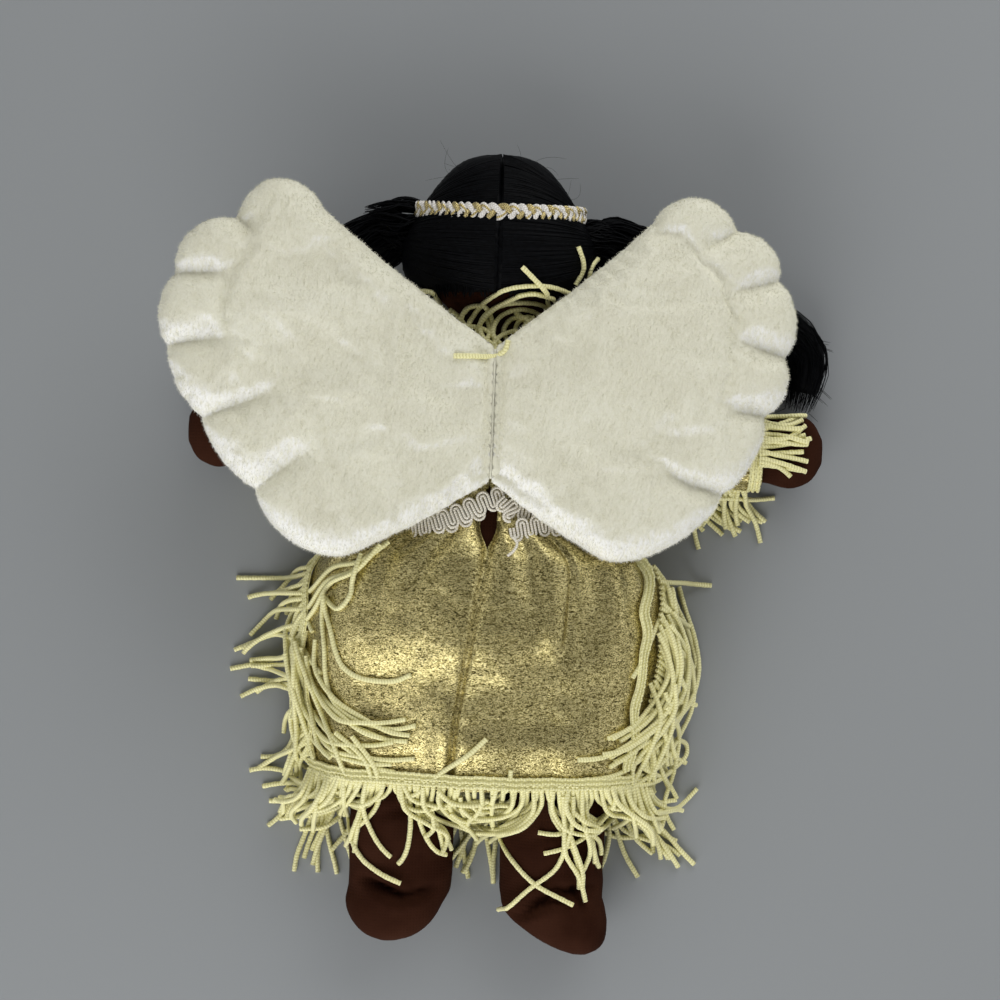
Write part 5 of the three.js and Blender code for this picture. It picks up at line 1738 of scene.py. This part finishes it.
def scroll(name, spots, shift=0.0):
    run = runOf(spots)
    bend, rise = gimpSet["bend"], gimpSet["half"] - gimpSet["bend"]
    line = []
    for k in range(int((run[-1] - shift) / (2 * bend))):
        way = 1 if k % 2 else -1
        x = shift + 2 * bend * k
        line += [(x, -way * rise * 0.6), (x, 0), (x, way * rise * 0.6)]
        for turn in spread(math.pi, 0, 9):
            line.append((x + bend + bend * math.cos(turn), way * (rise + bend * math.sin(turn))))
    paths = [[], []]
    for i, (s, across) in enumerate(line):
        k = 0
        while k < len(run) - 2 and run[k + 1] < s:
            k += 1
        ahead = (spots[k + 1] - spots[k]).normalized()
        spot = spots[k] + ahead * (s - run[k])
        up = Vector((spot.x * 0.62, 0, spot.z - bodySet["mid"])).normalized()
        up = (up - ahead * up.dot(ahead)).normalized()
        side = up.cross(ahead)
        before, after = line[max(i - 1, 0)], line[min(i + 1, len(line) - 1)]
        tangent = Vector((after[0] - before[0], after[1] - before[1])).normalized()
        for path, way in zip(paths, (-1, 1)):
            off = way * gimpSet["gap"]
            path.append(tuple(spot + ahead * (-tangent.y * off) + side * (across + tangent.x * off)))
    return braidCords(name, paths)


def makeLeftBraid():
    rise = [(-33, 12.5), (-23, 14.6), (-12, 19.0), (-3, 23.6), (5, 26.6)]
    return joined("waistBraidLeft", [
        scroll("braidTop", onWaist(rise, 12)[::-1]),
        scroll("braidUnder", onWaist([(x, y - 1.6) for x, y in rise[1:4]], 12, -1.1), 1.28),
        scroll("braidSide", roundWaist(math.pi * 0.8, math.pi, 14)),
        scroll("braidFront", roundWaist(math.pi + 0.02, math.pi * 1.5, 17)),
    ])


def makeRightBraid():
    end = onWaist([(10, 11.0), (11.6, 8.4), (10.4, 5.6), (8, 3.4)], 8, 0.4)
    return joined("waistBraidRight", [
        scroll("braidFold", onWaist([(5.5, 25.5), (8.5, 22.4), (10.5, 18.2)], 12, 1.0)),
        scroll("braidRun", onWaist([(9.5, 13.2), (16, 14.6), (25, 16.4), (34, 15)], 12)),
        scroll("braidBack", onWaist([(7, 23), (15, 21.5), (24, 20)], 12, -1.0)),
        scroll("braidSide", roundWaist(math.pi * 0.2, -math.pi / 2, 16)),
        braidCords("braidEnd", [[(p.x, p.y, p.z + 2.2) for p in end]]),
    ])


braids = {"left": makeLeftBraid(), "right": makeRightBraid()}

seamSet = {"first": 33.5, "last": 84.5, "half": 2.6, "fold": 60.6, "stitches": 24, "thread": 0.28}


def makeWingSeam():  # seam allowance and the tacking stitches that hold the wings
    foot, neckEnd = wingSet["rootY"] - wingSet["rootHalf"], wingSet["rootY"] + wingSet["rootHalf"]
    rows = []
    for y in spread(seamSet["first"], seamSet["last"], 40):
        half = seamSet["half"] + 0.3 * math.sin(y)
        low = bodySet["mid"] + stationAt(torsoStations, y)[1] + 2.0
        near = 1 - clamp(min(y - foot, neckEnd - y) / wingSet["edge"])
        top = wingSet["rootZ"] + 1.75 * math.sqrt(1 - near * near)  # fills the line between the wings
        side = [(half, y, low), (half * 0.6, y, seamSet["fold"]), (0.9, y, top - 0.9), (0.4, y, top - 0.1)]
        rows.append([(-x, y, z) for x, y, z in side] + side[::-1])
    tape = faceOut(newPiece("seamTape", *loft(rows), velvet))
    stitch = []
    for y in spread(34, 82, seamSet["stitches"]):
        stitch.append([(-2.4, y, 60.2), (-1.6, y + 0.6, 60.9), (-0.8, y + 1.2, 60.9), (0, y + 1.8, 60.2)])
    return joined("wingSeam", [tape, cords("tacking", stitch, whiteStuff, seamSet["thread"], 0.4, 0.8, 0, 6)])


wingSeam = makeWingSeam()
print("braid and seams sewn")


# skirt halves cut into four parts along the hips, which meet at each cut

def shellOf(name, faces):  # both sides of the cloth and its cut edges
    inPart = set(faces)
    ids, spots, normals = {}, [], []
    for f in faces:
        for v in f.verts:
            if v not in ids:
                ids[v] = len(spots)
                spots.append(v.co.copy())
                normals.append(v.normal.copy())
    n = len(spots)
    shell = [[ids[v] for v in f.verts] for f in faces]
    rim = []
    for f in faces:
        for loop in f.loops:
            if not any(g is not f and g in inPart for g in loop.edge.link_faces):
                a, b = ids[loop.vert], ids[loop.link_loop_next.vert]
                rim.append((b, a, a + n, b + n))
    spots += [p - q * dressSet["cloth"] * mm for p, q in zip(spots, normals)]
    normals += [-q for q in normals]
    mesh = bpy.data.meshes.new(name)
    mesh.from_pydata(spots, [], shell + [[i + n for i in reversed(f)] for f in shell] + rim)
    mesh.polygons.foreach_set("use_smooth", [i < 2 * len(shell) for i in range(len(mesh.polygons))])
    shading = []
    for f in mesh.polygons:  # shading runs on over each cut
        shading += [normals[i] if f.use_smooth else f.normal for i in f.vertices]
    mesh.normals_split_custom_set(shading)
    mesh.materials.append(lame)
    return linked(name, mesh)


def cutForHips(name, sheets):
    work = bmesh.new()
    for sheet in sheets:
        work.from_mesh(sheet.data)
        bpy.data.objects.remove(sheet)
    planes = [((0, 0, 0), (1, 0, 0))]
    bend = hipBend["startY"] - hipBend["endY"]
    for sign in signs.values():
        planes.append(((sign * hipBend["inner"] * mm, 0, 0), (1, 0, 0)))
        planes.append(((0, hipBend["startY"] * mm, 0), (bend, sign * hipBend["inner"], 0)))
    for spot, normal in planes:
        whole = work.verts[:] + work.edges[:] + work.faces[:]
        bmesh.ops.bisect_plane(work, geom=whole, dist=1e-7, plane_co=spot, plane_no=normal)
    work.normal_update()
    groups = {key: [] for key in hemSides}
    for f in work.faces:
        centre = f.calc_center_median() / mm
        groups[split(centre.x, centre.y)].append(f)
    parts = {key: shellOf(name + titled(key), faces) for key, faces in groups.items()}
    work.free()
    return parts


skirtBack = cutForHips("skirtBack", [skirtBackLeft, skirtBackRight])
skirtFront = cutForHips("skirtFront", [skirtFront])


def sideOf(key):
    return "left" if key.startswith("left") else "right"


def followHip(piece, key):
    side = sideOf(key)
    if key.endswith("Inner"):
        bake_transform(piece)
    else:
        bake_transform(piece)


# each piece hides the solids it stands for, and follows its body where it is given one

def stand(piece, body, slot, *nodes):
    if body:
        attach(piece, body)
    if nodes:
        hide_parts(*nodes)


padded = [(torso, "torso"), (head, "head")]
padded += [(arms[side], side + "_arm") for side in signs] + [(legs[side], side + "_leg") for side in signs]
for piece, body in padded:
    stand(piece, body, "brown_cotton", body + "_cover", body + "_stuffing")
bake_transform(neck)
stand(neck, None, "brown_cotton")

for side in signs:
    wing, arm = side + "_wing", side + "_arm"
    stand(wings[side], wing, "wing_velvet", wing + "_cover", wing + "_stuffing")
    stand(piles[side], wing, "wing_velvet")
    stand(hair[side], "head", "hair_fibre", "hair_" + side)
    stand(ties[side], "head", "hair_tie", side + "_hair_tie")
    stand(tails[side], side + "_tail", "hair_fibre", side + "_pigtail")
    stand(eyes[side], "head", "face_thread", side + "_eye")
    stand(underarms[side], arm, "fringe_cord", side + "_underarm_fringe")
    stand(cuffs[side], arm, "fringe_cord", side + "_cuff_fringe")
    stand(braids[side], "torso", "scroll_braid", "waist_braid_" + side)
stand(wingSeam, "torso", "wing_velvet", "wing_seam")
stand(headband, "head", "band_plait", "headband")
stand(mouth, "head", "face_thread", "mouth")
stand(neckFringe, "torso", "fringe_cord", "neck_fringe")

for piece, node in (
    (bodiceFront, "bodice_front"), (bodiceBackLeft, "bodice_back_left"),
    (bodiceBackRight, "bodice_back_right"),
):
    stand(piece, "torso", "gold_lame", node)
for side, sign in signs.items():
    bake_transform(sleeves[side])
    stand(sleeves[side], None, "gold_lame", side + "_sleeve")

for parts, nodes in (
    (skirtBack, {"left": "skirt_back_left", "right": "skirt_back_right"}),
    (skirtFront, {"left": "skirt_front", "right": "skirt_front"}),
):
    for key, piece in parts.items():
        sideOf(key) + "Leg"
        followHip(piece, key)
        stand(piece, None, "gold_lame", nodes[sideOf(key)])
for parts, node in ((hemBack, "hem_fringe_back"), (hemFront, "hem_fringe_front")):
    for key, piece in parts.items():
        followHip(piece, key)
        stand(piece, None, "fringe_cord", node)
for side in signs:
    followHip(sideFringes[side], side + "Outer")
    stand(sideFringes[side], None, "fringe_cord", side + "_side_fringe")
print("pieces set on their bodies")


# floor, light and camera
studioSet = {
    "floor": (0.272, 0.286, 0.295), "world": 0.66, "zenith": 0.18,
    "lamps": {"keyLight": ((-0.3, -1.05, 0.6), 1.3, 13.0), "fillLight": ((0.45, 1.05, 0.6), 1.2, 9.0)},
    "lens": 85.95, "camera": (0.00423, 0.02531, 1.0), "turn": 2.175, "aim": (0, 0, 0.03),
}


def makeFloor():
    mesh = bpy.data.meshes.new("floor")
    mesh.from_pydata([(-3, -3, 0), (3, -3, 0), (3, 3, 0), (-3, 3, 0)], [], [(0, 1, 2, 3)])
    made, tree, shader = newMaterial("floorPaint", studioSet["floor"], 0.7)
    tree.bump(shader, tree.pattern("Noise", 300, detail=2), 0.05, 0.0003)
    mesh.materials.append(made)
    linked("floor", mesh)


def makeLight():
    world = bpy.data.worlds.new("studio")
    world.use_nodes = True
    tree = Tree(world.node_tree)
    parts = tree.node("ShaderNodeSeparateXYZ")
    tree.feed(parts.inputs[0], tree.node("ShaderNodeTexCoord").outputs["Generated"])
    sky = tree.ramp(parts.outputs["Z"], [(0.5, (1, 1, 1)), (0.92, (studioSet["zenith"],) * 3)])
    tree.fill(tree.nodes["Background"], {"Color": sky, "Strength": studioSet["world"]})
    scene.world = world
    for name, (place, size, energy) in studioSet["lamps"].items():
        lamp = bpy.data.lights.new(name, "AREA")
        lamp.size = size
        lamp.energy = energy
        stood = linked(name, lamp)
        stood.location = place
        ahead = Vector(studioSet["aim"]) - Vector(place)
        stood.rotation_euler = ahead.to_track_quat("-Z", "Y").to_euler()


def makeCamera():
    eye = bpy.data.cameras.new("camera")
    eye.sensor_width = 36
    eye.lens = studioSet["lens"]
    camera = linked("camera", eye)
    camera.location = studioSet["camera"]
    camera.rotation_euler = (0, 0, math.radians(studioSet["turn"]))
    scene.camera = camera
    scene.view_settings.view_transform = "Standard"


makeFloor()
makeLight()
makeCamera()
